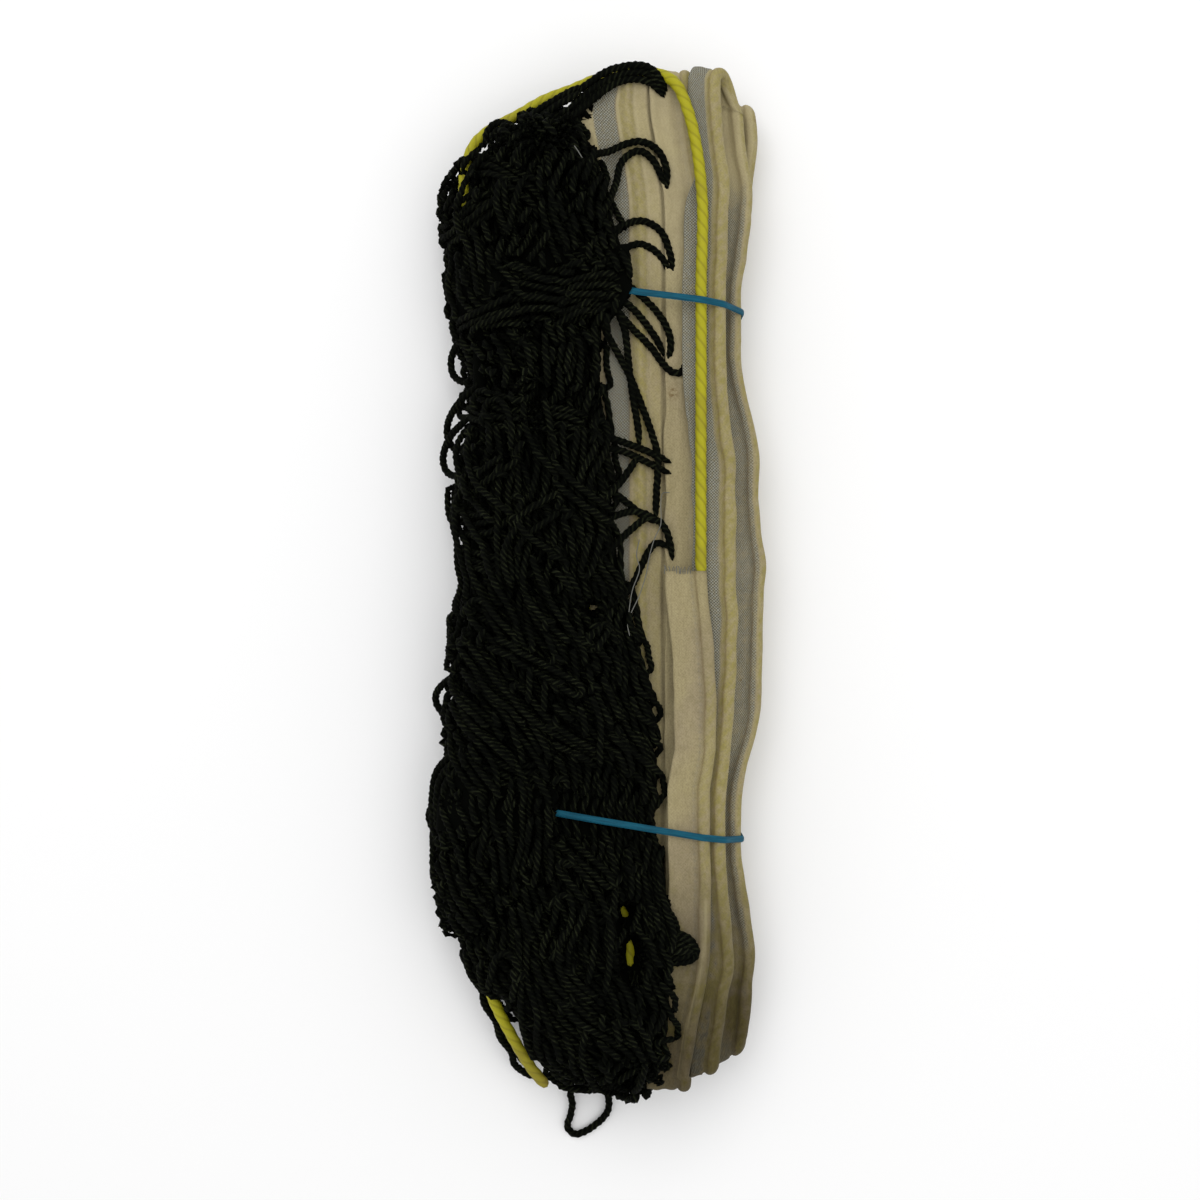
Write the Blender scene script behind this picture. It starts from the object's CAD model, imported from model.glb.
"""Looks of a folded court net round its CAD frame: canvas tape, ropes, knotted netting and two bands."""

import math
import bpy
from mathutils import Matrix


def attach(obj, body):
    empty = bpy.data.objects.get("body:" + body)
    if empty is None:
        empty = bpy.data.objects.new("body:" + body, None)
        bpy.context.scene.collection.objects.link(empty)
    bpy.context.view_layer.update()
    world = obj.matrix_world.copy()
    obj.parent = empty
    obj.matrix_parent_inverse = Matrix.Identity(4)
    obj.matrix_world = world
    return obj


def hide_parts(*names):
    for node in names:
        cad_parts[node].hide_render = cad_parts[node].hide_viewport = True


bl_info = {
    "name": "Folded court net",
    "version": (1, 0, 0),
    "blender": (4, 5, 0),
    "location": "View3D > Sidebar > Court net",
    "description": "Canvas tape, ropes, netting and elastic bands of a folded court net",
    "category": "Add Mesh",
}

import bpy
import numpy as np
from bpy.props import FloatProperty, FloatVectorProperty, PointerProperty
from mathutils import Vector
from mathutils.bvhtree import BVHTree

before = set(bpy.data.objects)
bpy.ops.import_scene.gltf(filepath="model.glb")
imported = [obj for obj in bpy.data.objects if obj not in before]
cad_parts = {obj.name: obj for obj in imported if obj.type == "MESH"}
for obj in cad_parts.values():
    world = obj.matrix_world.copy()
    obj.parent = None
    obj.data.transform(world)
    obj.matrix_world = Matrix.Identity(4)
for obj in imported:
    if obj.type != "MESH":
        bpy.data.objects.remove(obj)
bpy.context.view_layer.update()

MM = 0.001

# Named points of the photograph, in its 1200 by 1200 frame.
PHOTO_W, PHOTO_H = 1200, 1200
LONG_SIDE = max(PHOTO_W, PHOTO_H)
IMAGE_POINTS = {
    "left_edge": (428, None),
    "right_edge": (766, None),
    "top_edge": (None, 61),
    "bottom_edge": (None, 1105),
    "pocket_mouth": (685, 571),
    "rope_at_mouth": (701, 568),
    "upper_band_right": (743, 314),
    "lower_band_right": (743, 838),
    "first_hook_tip": (667, 191),
    "second_hook_tip": (673, 280),
    "third_hook_tip": (686, 359),
    "rope_end": (546, 1085),
    "rope_in_netting": (630, 955),
    "brown_stain": (673, 393),
    "fold_stain": (758, 120),
}

# The camera looks straight down on the middle of the bundle.
CAMERA_LENS = 50.0
CAMERA_SENSOR = 36.0
CAMERA_PLACE = (0.0, 0.0, 0.8833)
CAMERA_SHIFT = (0.0, 0.0)

# The CAD's own numbers, in millimetres: part.scad has the same names.
TAPE_X, COLUMN_STEP, WAIST_STEP = 50.5, 15.0, 9.0
FOLD_L, FRONT_L, FOLD_MID = 490.0, 247.0, 8.0
FOLD_TOP, FOLD_BOTTOM = FOLD_MID + FOLD_L / 2, FOLD_MID - FOLD_L / 2
MOUTH_Y = FOLD_BOTTOM + FRONT_L
LAPS_A, LAPS_B, LAPS_C = 6, 4, 4
LAP_COUNT = LAPS_A + LAPS_B + LAPS_C
BOTTOM_SHORT, TOP_SHORT, HOP_REACH = (0, 11, 28), (0, 9, 10), 7.0
TUNNEL_R, TAPE_FLAT, ROW_PITCH, FIRST_ROW_Z = 3.6, 15.0, 9.0, 3.9
LEDGE_Z, SIDE_H, SIDE_PITCH = 34.8, 3.2, 3.5
SIDE_TOP, SIDE_BOTTOM = 250.0, -127.0
BAND_Y, BAND_SLANT, WAIST_FLAT, WAIST_RUN, WAIST_LIFT = (152.0, -108.0), 0.11, 11.75, 62.0, 2.2
END_LEAN, LEAN_FROM, LEAN_RUN = 8.0, 185.0, 70.0


def ease(t):
    """0 to 1 along 3t^2 - 2t^3, and level before and after."""
    c = np.clip(t, 0, 1)
    return c * c * (3 - 2 * c)


def squeeze(x, y):
    """How firmly the nearer band holds the bundle: 1 in its waist, easing to 0 past it."""
    past = [abs(y + BAND_SLANT * x - b) - WAIST_FLAT for b in BAND_Y]
    return np.max([1 - ease(far / WAIST_RUN) for far in past], axis=0)


def lean(y):
    """How far the tape leans in towards both ends."""
    return END_LEAN * ease((abs(y - FOLD_MID) - LEAN_FROM) / LEAN_RUN)


def column_x(c, y):
    """Place across of column c at y: its pitch shrinks from the swell's to the waist's."""
    step = COLUMN_STEP + (WAIST_STEP - COLUMN_STEP) * squeeze(TAPE_X + c * COLUMN_STEP, y)
    return TAPE_X + c * step - lean(y)


def lift(x, y):
    """How far the bundle's underside rises off the floor: WAIST_LIFT in a waist, 0 past it."""
    return WAIST_LIFT * squeeze(x, y)


# How far the canvas stands off the solids' columns, as [y, third column, front lap], and the second
# column's share of the third's shift.
COLUMN_SHIFT = [[-250, -3.0, -3], [-214, -3.3, -1], [-196, -4.7, 0.5], [-162, -2.1, 1.5], [-141, 0.6, 1.6],
                [-122, 0, 0.7], [-94, 0, 0.7], [-75, -0.5, 4.2], [-50, -1.4, 4.5], [-25, 0, 3.2], [0, 0, 0],
                [14, 0, -1.2], [51, -3.0, 0], [101, -2.3, 0], [132, 0, 0], [160, 0, 0], [173, 0, 0],
                [197, -4.6, 0], [218, -4.2, 0], [232, -3.0, 0], [246, -2.0, 0], [262, -2.0, 0]]
SECOND_SHARE = 0.55
# How far a fold reaches past its lap's solid, by lap.
FOLD_STAND = {1: 1.5, 2: 7.5, 4: 6.5, 6: 3.0, 8: 5.0, 9: 5.0, 10: 11.0, 11: 16.0, 12: 5.0, 13: 13.0}
# How slanted each column's folds are, at the top and at the bottom.
FOLD_SKEW = ((-0.1, 0.0), (-0.06, 0.25), (-0.4, 0.6))
# How far lap 11 leans left at the top, and how far the laps under it stand out to the right there.
TOP_LEAN, TOP_SPREAD = 1.5, 5.5
# How much lower the next lap starts, where the tape hops to the next column.
HOP_DROP = {10: 13.0}
# How far the tunnel's mouth stands past its solid.
MOUTH_STAND = 4.5


def column_shift(c, y):
    """The columns' shift at y: none for the first, and in a straight line by column between the three."""
    shift_y, third, _ = np.transpose(COLUMN_SHIFT)
    return np.interp(y, shift_y, third) * np.interp(c, (0, 1, 2), (0, SECOND_SHARE, 1))


def front_shift(y):
    """The front lap's own shift at y."""
    shift_y, _, front = np.transpose(COLUMN_SHIFT)
    return np.interp(y, shift_y, front)


def waves(seed, count, shortest, longest):
    """A smooth random line: a sum of sines with random phases, as a function that takes any array."""
    rng = np.random.default_rng(seed)
    length = np.exp(rng.uniform(math.log(shortest), math.log(longest), count))
    phase = rng.uniform(0, 2 * math.pi, count)
    size = length / length.sum()
    terms = list(zip(size, length, phase))
    return lambda s: sum(a * np.sin(2 * math.pi * np.asarray(s) / l + p) for a, l, p in terms)


def lengths_along(path):
    """How far along a path each of its points lies."""
    return np.concatenate([[0], np.cumsum(np.linalg.norm(np.diff(path, axis=0), axis=1))])


def unit(vectors, least=1e-9):
    """Vectors divided by their lengths."""
    return vectors / (np.linalg.norm(vectors, axis=-1, keepdims=True) + least)


def beside(path):
    """The direction to the right of a flat path at each of its points: its run turned by a quarter."""
    along = np.gradient(path, axis=0)
    return unit(np.stack([along[:, 1], -along[:, 0]], 1))


# ---- meshes

# Names of the pieces made so far.
BUILT = []


def add_mark(mesh, key, values):
    """A number for each of a mesh's points, which a material reads by its name."""
    mark = mesh.attributes.new(key, "FLOAT", "POINT")
    mark.data.foreach_set("value", np.asarray(values, np.float32).ravel())


def add_piece(name, points, faces, material, body="bundle", uv=None, marks=None):
    """A mesh object from points in millimetres and faces of 3 or 4 corners. uv has a pair of numbers for
    each corner, and marks a number for each point."""
    mesh = bpy.data.meshes.new(name)
    faces = [np.asarray(f, np.int32) for f in faces if len(f)]
    corners = np.concatenate([f.ravel() for f in faces])
    sizes = np.concatenate([np.full(len(f), f.shape[1], np.int32) for f in faces])
    mesh.vertices.add(len(points))
    mesh.vertices.foreach_set("co", (np.asarray(points, np.float64) * MM).astype(np.float32).ravel())
    mesh.loops.add(len(corners))
    mesh.loops.foreach_set("vertex_index", corners)
    mesh.polygons.add(len(sizes))
    starts = np.concatenate([[0], np.cumsum(sizes)[:-1]])
    mesh.polygons.foreach_set("loop_start", starts.astype(np.int32))
    mesh.update(calc_edges=True)
    if uv is not None:
        mesh.uv_layers.new(name="UVMap").data.foreach_set("uv", np.asarray(uv, np.float32).ravel())
    for key, values in (marks or {}).items():
        add_mark(mesh, key, values)
    mesh.polygons.foreach_set("use_smooth", np.full(len(sizes), True))
    mesh.validate()
    piece = bpy.data.objects.new(name, mesh)
    bpy.context.scene.collection.objects.link(piece)
    mesh.materials.append(material)
    BUILT.append(name)
    if body:
        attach(piece, body)
    return piece


def ring_faces(rows, cols, closed=False):
    """Quads between rings of cols points each, and from the last ring back to the first where closed is
    true."""
    i, j = np.divmod(np.arange((rows if closed else rows - 1) * cols), cols)
    k, after = (j + 1) % cols, (i + 1) % rows
    return np.stack([i * cols + j, i * cols + k, after * cols + k, after * cols + j], 1)


def fan_caps(rings, around):
    """Triangles from the first and the last ring to the two points after all the rings."""
    k = np.arange(around)
    after, last = (k + 1) % around, (rings - 1) * around
    return np.vstack([np.stack([np.full(around, rings * around), k, after], 1),
                      np.stack([np.full(around, rings * around + 1), last + after, last + k], 1)])


def ring_map(s, across):
    """The map of ring_faces' corners: s of the two rings, and across of the two points on them."""
    m = len(across)
    i, j = np.divmod(np.arange((len(s) - 1) * m), m)
    k = (j + 1) % m
    return np.stack([s[np.stack([i, i, i + 1, i + 1], 1)], across[np.stack([j, k, k, j], 1)]], -1)


def curve_through(route, step):
    """A Catmull-Rom curve through the route's points, as points evenly spaced along it."""
    p = np.asarray(route, float)
    q = np.vstack([2 * p[0] - p[1], p, 2 * p[-1] - p[-2]])
    t = np.linspace(0, 1, 16, endpoint=False)[None, :, None]
    a, b, c, d = (q[i:len(q) - 3 + i, None, :] for i in range(4))
    dense = 0.5 * (2 * b + (c - a) * t + (2 * a - 5 * b + 4 * c - d) * t ** 2
                   + (3 * b - a - 3 * c + d) * t ** 3)
    dense = np.vstack([dense.reshape(-1, p.shape[1]), p[-1:]])
    return even(dense, step)


def even(path, step):
    """The path with its points evenly spaced, about step apart."""
    s = lengths_along(path)
    at = np.linspace(0, s[-1], max(3, int(round(s[-1] / step)) + 1))
    return np.stack([np.interp(at, s, path[:, k]) for k in range(path.shape[1])], 1)


def tube(path, normal, radius, lobes=3, depth=0.2, per_lobe=2, pitch=11.5, phase=0.0, tips=0.55, run=1.2):
    """A laid cord along a path: its section is a rosette, r = radius * (1 - depth * (1 - cos(lobes *
    angle)) / 2), whose points turn once in every pitch, so the strands are real ridges. Its ends taper to
    `tips` of the radius over `run` radii, along a square root, and are closed by a point."""
    n, m = len(path), lobes * per_lobe
    along = unit(np.gradient(path, axis=0), 1e-12)
    side = unit(np.cross(along, normal))
    up = np.cross(side, along)
    s = lengths_along(path)
    around = np.arange(m) * 2 * math.pi / m
    turned = around[None, :] + 2 * math.pi * s[:, None] / pitch + phase
    r = radius * (1 - depth * (1 - np.cos(lobes * around)) / 2)[None, :] * np.ones((n, 1))
    to_end = np.clip(np.minimum(s, s[-1] - s) / (run * radius), 0, 1)
    r = r * np.minimum(1, tips + (1 - tips) * np.sqrt(to_end))[:, None]
    rings = path[:, None, :] + r[..., None] * (np.cos(turned)[..., None] * side[:, None, :]
                                               + np.sin(turned)[..., None] * up[:, None, :])
    tip = along * radius * 0.4
    points = np.vstack([rings.reshape(-1, 3), path[:1] - tip[:1], path[-1:] + tip[-1:]])
    quads = ring_faces(n, m)[:, ::-1]
    i, j = np.divmod(np.arange((n - 1) * m), m)
    v = np.stack([j, j + 1, j + 1, j], 1) / m
    u = s[np.stack([i, i, i + 1, i + 1], 1)]
    uv = np.stack([u, v], -1)[:, ::-1].reshape(-1, 2)
    k = np.arange(m)
    turn = np.stack([k + 0.5, k, k + 1], 1) / m
    caps = [np.stack([np.full((m, 3), end), turn], -1).reshape(-1, 2) for end in (0, s[-1])]
    return points, quads, fan_caps(n, m), uv, np.vstack(caps)


def join(tubes):
    """Several tubes as one set of points, faces and map."""
    starts = np.cumsum([0] + [len(t[0]) for t in tubes[:-1]])
    points, quads, tris, quad_map, tri_map = zip(*tubes)
    faces = [np.vstack([f + start for f, start in zip(kind, starts)]) for kind in (quads, tris)]
    return np.vstack(points), faces, np.vstack(quad_map + tri_map)


def level_normal(path):
    """The direction that a free route's own plane faces, the same all along it."""
    least = np.linalg.svd(np.gradient(path, axis=0), full_matrices=False)[2][-1]
    return np.broadcast_to(least if least[2] >= 0 else -least, path.shape)


# ---- image points

# Where the things that the image points name have ended up, in metres.
SHOWN = {}
# Pieces that stand clear of the bundle's outline.
LOOSE_ENDS = ("floor", "foot_loop_dressed_1", "head_rope_tail", "loose_cords_1")
TAPE_PIECES = ("head_tape_a", "head_tape_b", "head_tape_c")


def vertices_of(piece):
    """A piece's vertices as an array, in metres: every piece's object stays at the origin."""
    flat = np.empty(len(piece.data.vertices) * 3, np.float32)
    piece.data.vertices.foreach_get("co", flat)
    return flat.reshape(-1, 3).astype(float)


def tree_of(pieces):
    """The pieces' faces as one tree for rays, in metres."""
    points, faces = [], []
    for piece in pieces:
        faces += [tuple(v + len(points) for v in face.vertices) for face in piece.data.polygons]
        points += vertices_of(piece).tolist()
    return BVHTree.FromPolygons(points, faces)


def on_view(point, tree):
    """Where the ray through a point of the photograph meets the tree, or the place nearest the ray."""
    across = point[0] - PHOTO_W / 2 + CAMERA_SHIFT[0] * LONG_SIDE
    up = PHOTO_H / 2 - point[1] + CAMERA_SHIFT[1] * LONG_SIDE
    way = Vector((across, up, -LONG_SIDE * CAMERA_LENS / CAMERA_SENSOR)).normalized()
    eye = Vector(CAMERA_PLACE)
    hit = tree.ray_cast(eye, way)[0]
    if hit is None:
        reach = np.linspace(CAMERA_PLACE[2] - 0.08, CAMERA_PLACE[2] + 0.02, 60)
        hit = min([tree.find_nearest(eye + way * far) for far in reach], key=lambda found: found[3])[0]
    return np.array(hit)


def in_photo(places):
    """Where places in metres show in the photograph."""
    x, y, z = np.asarray(places, float).reshape(-1, 3).T
    scale = LONG_SIDE * CAMERA_LENS / CAMERA_SENSOR / (CAMERA_PLACE[2] - z)
    return np.stack([PHOTO_W / 2 - CAMERA_SHIFT[0] * LONG_SIDE + (x - CAMERA_PLACE[0]) * scale,
                     PHOTO_H / 2 + CAMERA_SHIFT[1] * LONG_SIDE - (y - CAMERA_PLACE[1]) * scale], 1)


def write_points():
    """Writes how far each image point's thing shows from its point, in x and y."""
    bundle = [bpy.data.objects[name] for name in BUILT if name not in LOOSE_ENDS]
    seen = in_photo(np.vstack([vertices_of(p) for p in bundle]))
    shown = {"left_edge": (seen[:, 0].min(), None), "right_edge": (seen[:, 0].max(), None),
             "top_edge": (None, seen[:, 1].min()), "bottom_edge": (None, seen[:, 1].max())}
    for name, place in SHOWN.items():
        shown[name] = tuple(in_photo(place)[0])
    for name, piece in (("upper_band_right", "upper_elastic"), ("lower_band_right", "lower_elastic")):
        band = in_photo(vertices_of(bpy.data.objects[piece]))
        shown[name] = tuple(band[band[:, 0] > band[:, 0].max() - 1.5].mean(axis=0))
    off = {name: [None if a is None else round(float(b - a), 2) for a, b in zip(point, shown[name])]
           for name, point in IMAGE_POINTS.items()}


# ---- materials

def set_slot(slot, value):
    """Gives a node's socket a link, a colour or a number."""
    if isinstance(value, Value):
        value.give(slot)
    elif slot.type == "RGBA" and len(value) == 3:
        slot.default_value = (*value, 1.0)
    else:
        slot.default_value = value


class Value:
    """A shader socket that takes part in sums: each operator adds its own Math node."""

    def __init__(self, tree, socket):
        self.tree, self.socket = tree, socket

    def give(self, slot):
        """Links this socket to a node's."""
        self.tree.links.new(self.socket, slot)

    def _math(self, kind, *terms):
        node = self.tree.nodes.new("ShaderNodeMath")
        node.operation = kind
        for slot, term in zip(node.inputs, terms):
            set_slot(slot, term)
        return Value(self.tree, node.outputs[0])

    def __add__(self, other):
        return self._math("ADD", self, other)

    def __sub__(self, other):
        return self._math("SUBTRACT", self, other)

    def __rsub__(self, other):
        return self._math("SUBTRACT", other, self)

    def __mul__(self, other):
        return self._math("MULTIPLY", self, other)

    __radd__, __rmul__ = __add__, __mul__

    def sine(self):
        return self._math("SINE", self)

    def low(self, other):
        return self._math("MINIMUM", self, other)

    def high(self, other):
        return self._math("MAXIMUM", self, other)

    def step(self, start, end):
        """0 below start, 1 above end, eased between."""
        node = self.tree.nodes.new("ShaderNodeMapRange")
        node.interpolation_type = "SMOOTHSTEP"
        for key, value in (("Value", self), ("From Min", start), ("From Max", end)):
            set_slot(node.inputs[key], value)
        return Value(self.tree, node.outputs["Result"])


# Places of a colour Mix node's factor and two colours among its sockets.
FACTOR_A_B = (0, 6, 7)


class Finish:
    """A material under way, with one Principled shader."""

    def __init__(self, name, roughness=0.8, **sockets):
        self.material = bpy.data.materials.new(name)
        self.material.use_nodes = True
        self.tree = self.material.node_tree
        self.shader = self.tree.nodes["Principled BSDF"]
        self.shader.inputs["Roughness"].default_value = roughness
        for key, value in sockets.items():
            set_slot(self.shader.inputs[key.replace("_", " ")], value)

    def node(self, kind, settings=None, **inputs):
        """Adds a node of a kind, its settings first and then the values or links of its sockets."""
        node = self.tree.nodes.new("ShaderNode" + kind)
        for key, value in (settings or {}).items():
            setattr(node, key, value)
        for key, value in inputs.items():
            set_slot(node.inputs[key.replace("_", " ")], value)
        return node

    def out(self, node, key=0):
        return Value(self.tree, node.outputs[key])

    def place(self):
        """Object coordinates in millimetres, as a vector."""
        here = self.out(self.node("TexCoord"), "Object")
        return self.out(self.node("VectorMath", {"operation": "SCALE"}, Vector=here, Scale=1000.0))

    def height_of(self, here):
        """How far towards the bundle's upper end a place is."""
        return self.out(self.node("SeparateXYZ", None, Vector=here), "Y")

    def uv(self):
        """The piece's own map: millimetres along, and its second number."""
        split = self.node("SeparateXYZ", None, Vector=self.out(self.node("UVMap", {"uv_map": "UVMap"}), "UV"))
        return self.out(split, "X"), self.out(split, "Y")

    def mark(self, name):
        return self.out(self.node("Attribute", {"attribute_name": name}), "Fac")

    def vector(self, x, y, z=0.0):
        return self.out(self.node("CombineXYZ", None, X=x, Y=y, Z=z))

    def noise(self, vector, size, detail=2.0, rough=0.5):
        """Soft blotches about size across, 0 to 1."""
        node = self.node("TexNoise", None, Vector=vector, Scale=1.0 / size, Detail=detail, Roughness=rough)
        return self.out(node, "Fac")

    def cells(self, vector, size):
        """How far it is to the nearest of points scattered about size apart."""
        return self.out(self.node("TexVoronoi", None, Vector=vector, Scale=1.0 / size), "Distance")

    def mix(self, factor, a, b, kind="MIX"):
        """Two colours mixed; each is a colour or a socket."""
        node = self.node("Mix", {"data_type": "RGBA", "blend_type": kind})
        for slot, value in zip(FACTOR_A_B, (factor, a, b)):
            set_slot(node.inputs[slot], value)
        return Value(self.tree, node.outputs[2])

    def done(self, colour, height, depth, strength):
        """Links the colour and the bump; depth is what a height of 1 stands for, in millimetres."""
        set_slot(self.shader.inputs["Base Color"], colour)
        if height is not None:
            bump = self.node("Bump", None, Height=height, Distance=depth * MM, Strength=strength)
            self.tree.links.new(bump.outputs["Normal"], self.shader.inputs["Normal"])
        return self.material


def linear(r, g, b):
    """A colour given in 0 to 255 as it shows, as the linear numbers a shader takes."""
    c = np.array([r, g, b]) / 255.0
    return tuple(np.where(c <= 0.04045, c / 12.92, ((c + 0.055) / 1.055) ** 2.4).tolist())


TURN = 2 * math.pi
# Lengths that the finishes repeat in, in millimetres: the canvas's threads, the rope's strands that show
# through it, its stitches, and the elastic's ribs and picks.
THREAD_PITCH, STRAND_PITCH, STITCH_PITCH, RIB_PITCH, PICK_PITCH = 1.5, 6.5, 3.4, 0.6, 0.7


def strand_ridge(turn):
    """1 on the ridges of a cord's three strands and 0 between them, as (1 + cos(3 * angle)) / 2."""
    return (turn * 3.0 * TURN + math.pi / 2).sine() * 0.5 + 0.5


def canvas_material(c):
    """Plain-woven cream canvas. The piece's map is millimetres along and across the tape. Its marks say how
    loosely it is woven, which shows grey ("open"), how near the yellow rope lies behind it ("rope"), where
    it is stained ("stain"), and where its stitches ("seam"), its old crease ("crease") and its raised edge
    ("rim") run. Sines along and across make the weave, and noises its blotches. It is more soiled towards
    the lower end."""
    f = Finish("sewn_canvas", 0.95, Specular_IOR_Level=0.1, Sheen_Weight=0.06)
    along, across = f.uv()
    opened, rope, seam, rim = f.mark("open"), f.mark("rope"), f.mark("seam"), f.mark("rim")
    here = f.place()
    cloth_place = f.vector(along, across)
    wander = f.noise(cloth_place, 7.0) * 4.0
    warp = (along * (TURN / THREAD_PITCH) + wander).sine()
    weft = (across * (TURN / THREAD_PITCH) + wander).sine()
    weave = warp * weft * 0.5 + 0.5
    speck = f.noise(cloth_place, 1.1, 3.0, 0.75)
    blotch = f.noise(cloth_place, 4.5, 3.0, 0.6)
    broad = f.noise(here, 30.0, 3.0, 0.55)
    streak = f.noise(f.vector(along * 0.12, across * 0.7), 1.0, 3.0, 0.6)
    cream = f.mix(broad.step(0.35, 0.65), c.canvas, c.canvas_pink)
    cream = f.mix(streak.step(0.42, 0.75) * 0.3, cream, c.canvas_shade)
    twist = (along * (TURN / STRAND_PITCH) + across * 1.1 + broad * 9.0 + blotch * 4.0).sine() * 0.5 + 0.5
    tinted = f.mix(twist.step(0.35, 1.0) * 0.4, c.canvas_yellow, cream)
    cream = f.mix(rope * blotch.step(0.25, 0.65), cream, tinted)
    y = f.height_of(here)
    low_end = (y * -1.0).step(120, 200)
    patch = f.noise(here, 15.0, 3.0, 0.6)
    cream = f.mix((low_end * 0.75 + 0.12) * patch.step(0.47, 0.62), cream, c.canvas_yellow)
    cream = f.mix((1 - weave) * 0.3, cream, c.canvas_shade)
    threads = (weave + speck * 0.6).step(0.45, 1.05)
    grey = f.mix(threads, c.weave_gap, c.weave_thread)
    openness = opened * (broad * 0.6 + blotch * 1.1) * (1 - low_end * patch.step(0.35, 0.55) * 0.85)
    cloth = f.mix(openness.step(0.12, 0.85), cream, grey)
    cloth = f.mix((1 - speck.step(0.32, 0.6)) * 0.6, cloth, c.canvas_shade)
    cloth = f.mix(blotch.step(0.5, 0.75) * 0.3, cloth, c.canvas_shade)
    cloth = f.mix(f.mark("crease") * 0.6, cloth, c.stain)
    stitch = seam * (along * (TURN / STITCH_PITCH)).sine().step(-0.75, -0.3)
    cloth = f.mix(seam * 0.35 - stitch * 0.2, cloth, c.canvas_soil)
    spots = (1 - f.cells(here, 23.0).step(0.012, 0.03)) * f.noise(here, 50.0).step(0.5, 0.6)
    stained = (spots * 0.7).high(f.mark("stain") * f.noise(here, 2.0).step(0.35, 0.6))
    cloth = f.mix(stained, cloth, c.stain)
    cloth = f.mix(rim * 0.8, cloth, c.canvas_light)
    cloth = f.mix(y.step(90, 235) * 0.4 * (1 - opened) * (1 - rope * 0.85), cloth, c.canvas_light)
    soiled = (y * -1.0).step(95, 228) * 0.92 + (blotch - 0.5) * 0.2 + (broad - 0.5) * 0.35
    soiled = soiled.high(0.0).low(1.0)
    cloth = f.mix(soiled, cloth, f.mix(1.0, cloth, c.canvas_soil, "MULTIPLY"))
    height = weave * (0.25 + 0.6 * opened) + speck * 0.5 + streak * 0.6 + stitch * 0.5
    height = height + blotch * 1.3 + rim * 2.5
    return f.done(cloth, height, 0.34, 0.9)


def rope_material(c):
    """Yellow laid rope. The map is millimetres along and the share of a turn round each ring's points,
    which turn with the strands, so the filaments run along the strands."""
    f = Finish("yellow_rope", 0.6, Specular_IOR_Level=0.3)
    along, turn = f.uv()
    groove = strand_ridge(turn)
    fibre = f.noise(f.vector(along * 0.12, turn * 60.0), 1.0, 2.0, 0.6)
    colour = f.mix(groove.step(0.0, 0.3), c.rope_shade, c.rope)
    colour = f.mix(fibre.step(0.5, 0.75) * 0.4, colour, c.rope_light)
    y = f.height_of(f.place())
    worn = (y * -1.0).step(205, 250) * 0.5 + f.noise(f.place(), 14.0).step(0.5, 0.75) * 0.2
    colour = f.mix(worn, colour, c.stain)
    return f.done(colour, fibre, 0.25, 0.8)


def twine_material(c):
    """Black twine gone a little olive with dust on its ridges."""
    f = Finish("black_twine", 0.85, Specular_IOR_Level=0.05)
    along, turn = f.uv()
    here = f.place()
    ridge = strand_ridge(turn)
    cord = f.noise(here, 11.0, 3.0, 0.6)
    fleck = f.noise(f.vector(along * 0.32, turn * 9.0), 1.0, 3.0, 0.65)
    fibre = f.noise(f.vector(along * 0.8, turn * 30.0), 1.0, 2.0, 0.6)
    dust = (cord.step(0.36, 0.66) * 0.75 + 0.25) * ridge.step(0.25, 0.95) * fleck.step(0.36, 0.66)
    colour = f.mix(dust, c.twine, c.twine_dust)
    single = fibre.step(0.58, 0.7) * ridge.step(0.4, 0.9) * cord.step(0.42, 0.66)
    colour = f.mix(single, colour, c.twine_fibre)
    return f.done(colour, fibre + ridge * 0.6, 0.3, 0.8)


def band_material(c):
    """Blue elastic with ribs of rubber along it and a fine cross weave."""
    f = Finish("blue_elastic", 0.6, Specular_IOR_Level=0.15)
    along, across = f.uv()
    rib = (across * (TURN / RIB_PITCH)).sine() * 0.5 + 0.5
    pick = (along * (TURN / PICK_PITCH)).sine() * 0.5 + 0.5
    worn = f.noise(f.vector(along * 0.08, across), 1.0, 2.0)
    colour = f.mix(worn.step(0.3, 0.7), c.band, c.band_light)
    colour = f.mix((1 - rib) * 0.35, colour, c.band_shade)
    return f.done(colour, rib * 0.7 + pick * 0.3, 0.15, 0.7)


def plain_material(name, colour, roughness=0.9, grain=0.0):
    """A matt finish of one colour, mottled darker by its grain."""
    f = Finish(name, roughness, Specular_IOR_Level=0.04)
    mottle = f.noise(f.place(), 6.0, 3.0)
    shade = tuple(part * 0.85 for part in colour)
    colour = f.mix(mottle.step(0.3, 0.7) * grain, colour, shade)
    return f.done(colour, mottle if grain else None, 0.2, 0.4)


# ---- canvas tape

def column_of(k):
    """Which column lap k lies in."""
    return 0 if k <= LAPS_A else 1 if k <= LAPS_A + LAPS_B else 2


def row_of(k):
    """How many rows up lap k lies: down the first column, up the second, half a row higher, and down the
    third."""
    return (LAPS_A - k, k - LAPS_A + 0.5, LAPS_B - (k - LAPS_A - LAPS_B))[column_of(k)]


def fold_y(k):
    """Where lap k folds over into the next one."""
    c = column_of(k)
    stand = FOLD_STAND.get(k, 0.0)
    if k % 2:
        return FOLD_BOTTOM + BOTTOM_SHORT[c] - stand
    return FOLD_TOP - TOP_SHORT[c] + stand + (HOP_REACH if k < LAP_COUNT and column_of(k + 1) > c else 0)


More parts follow.
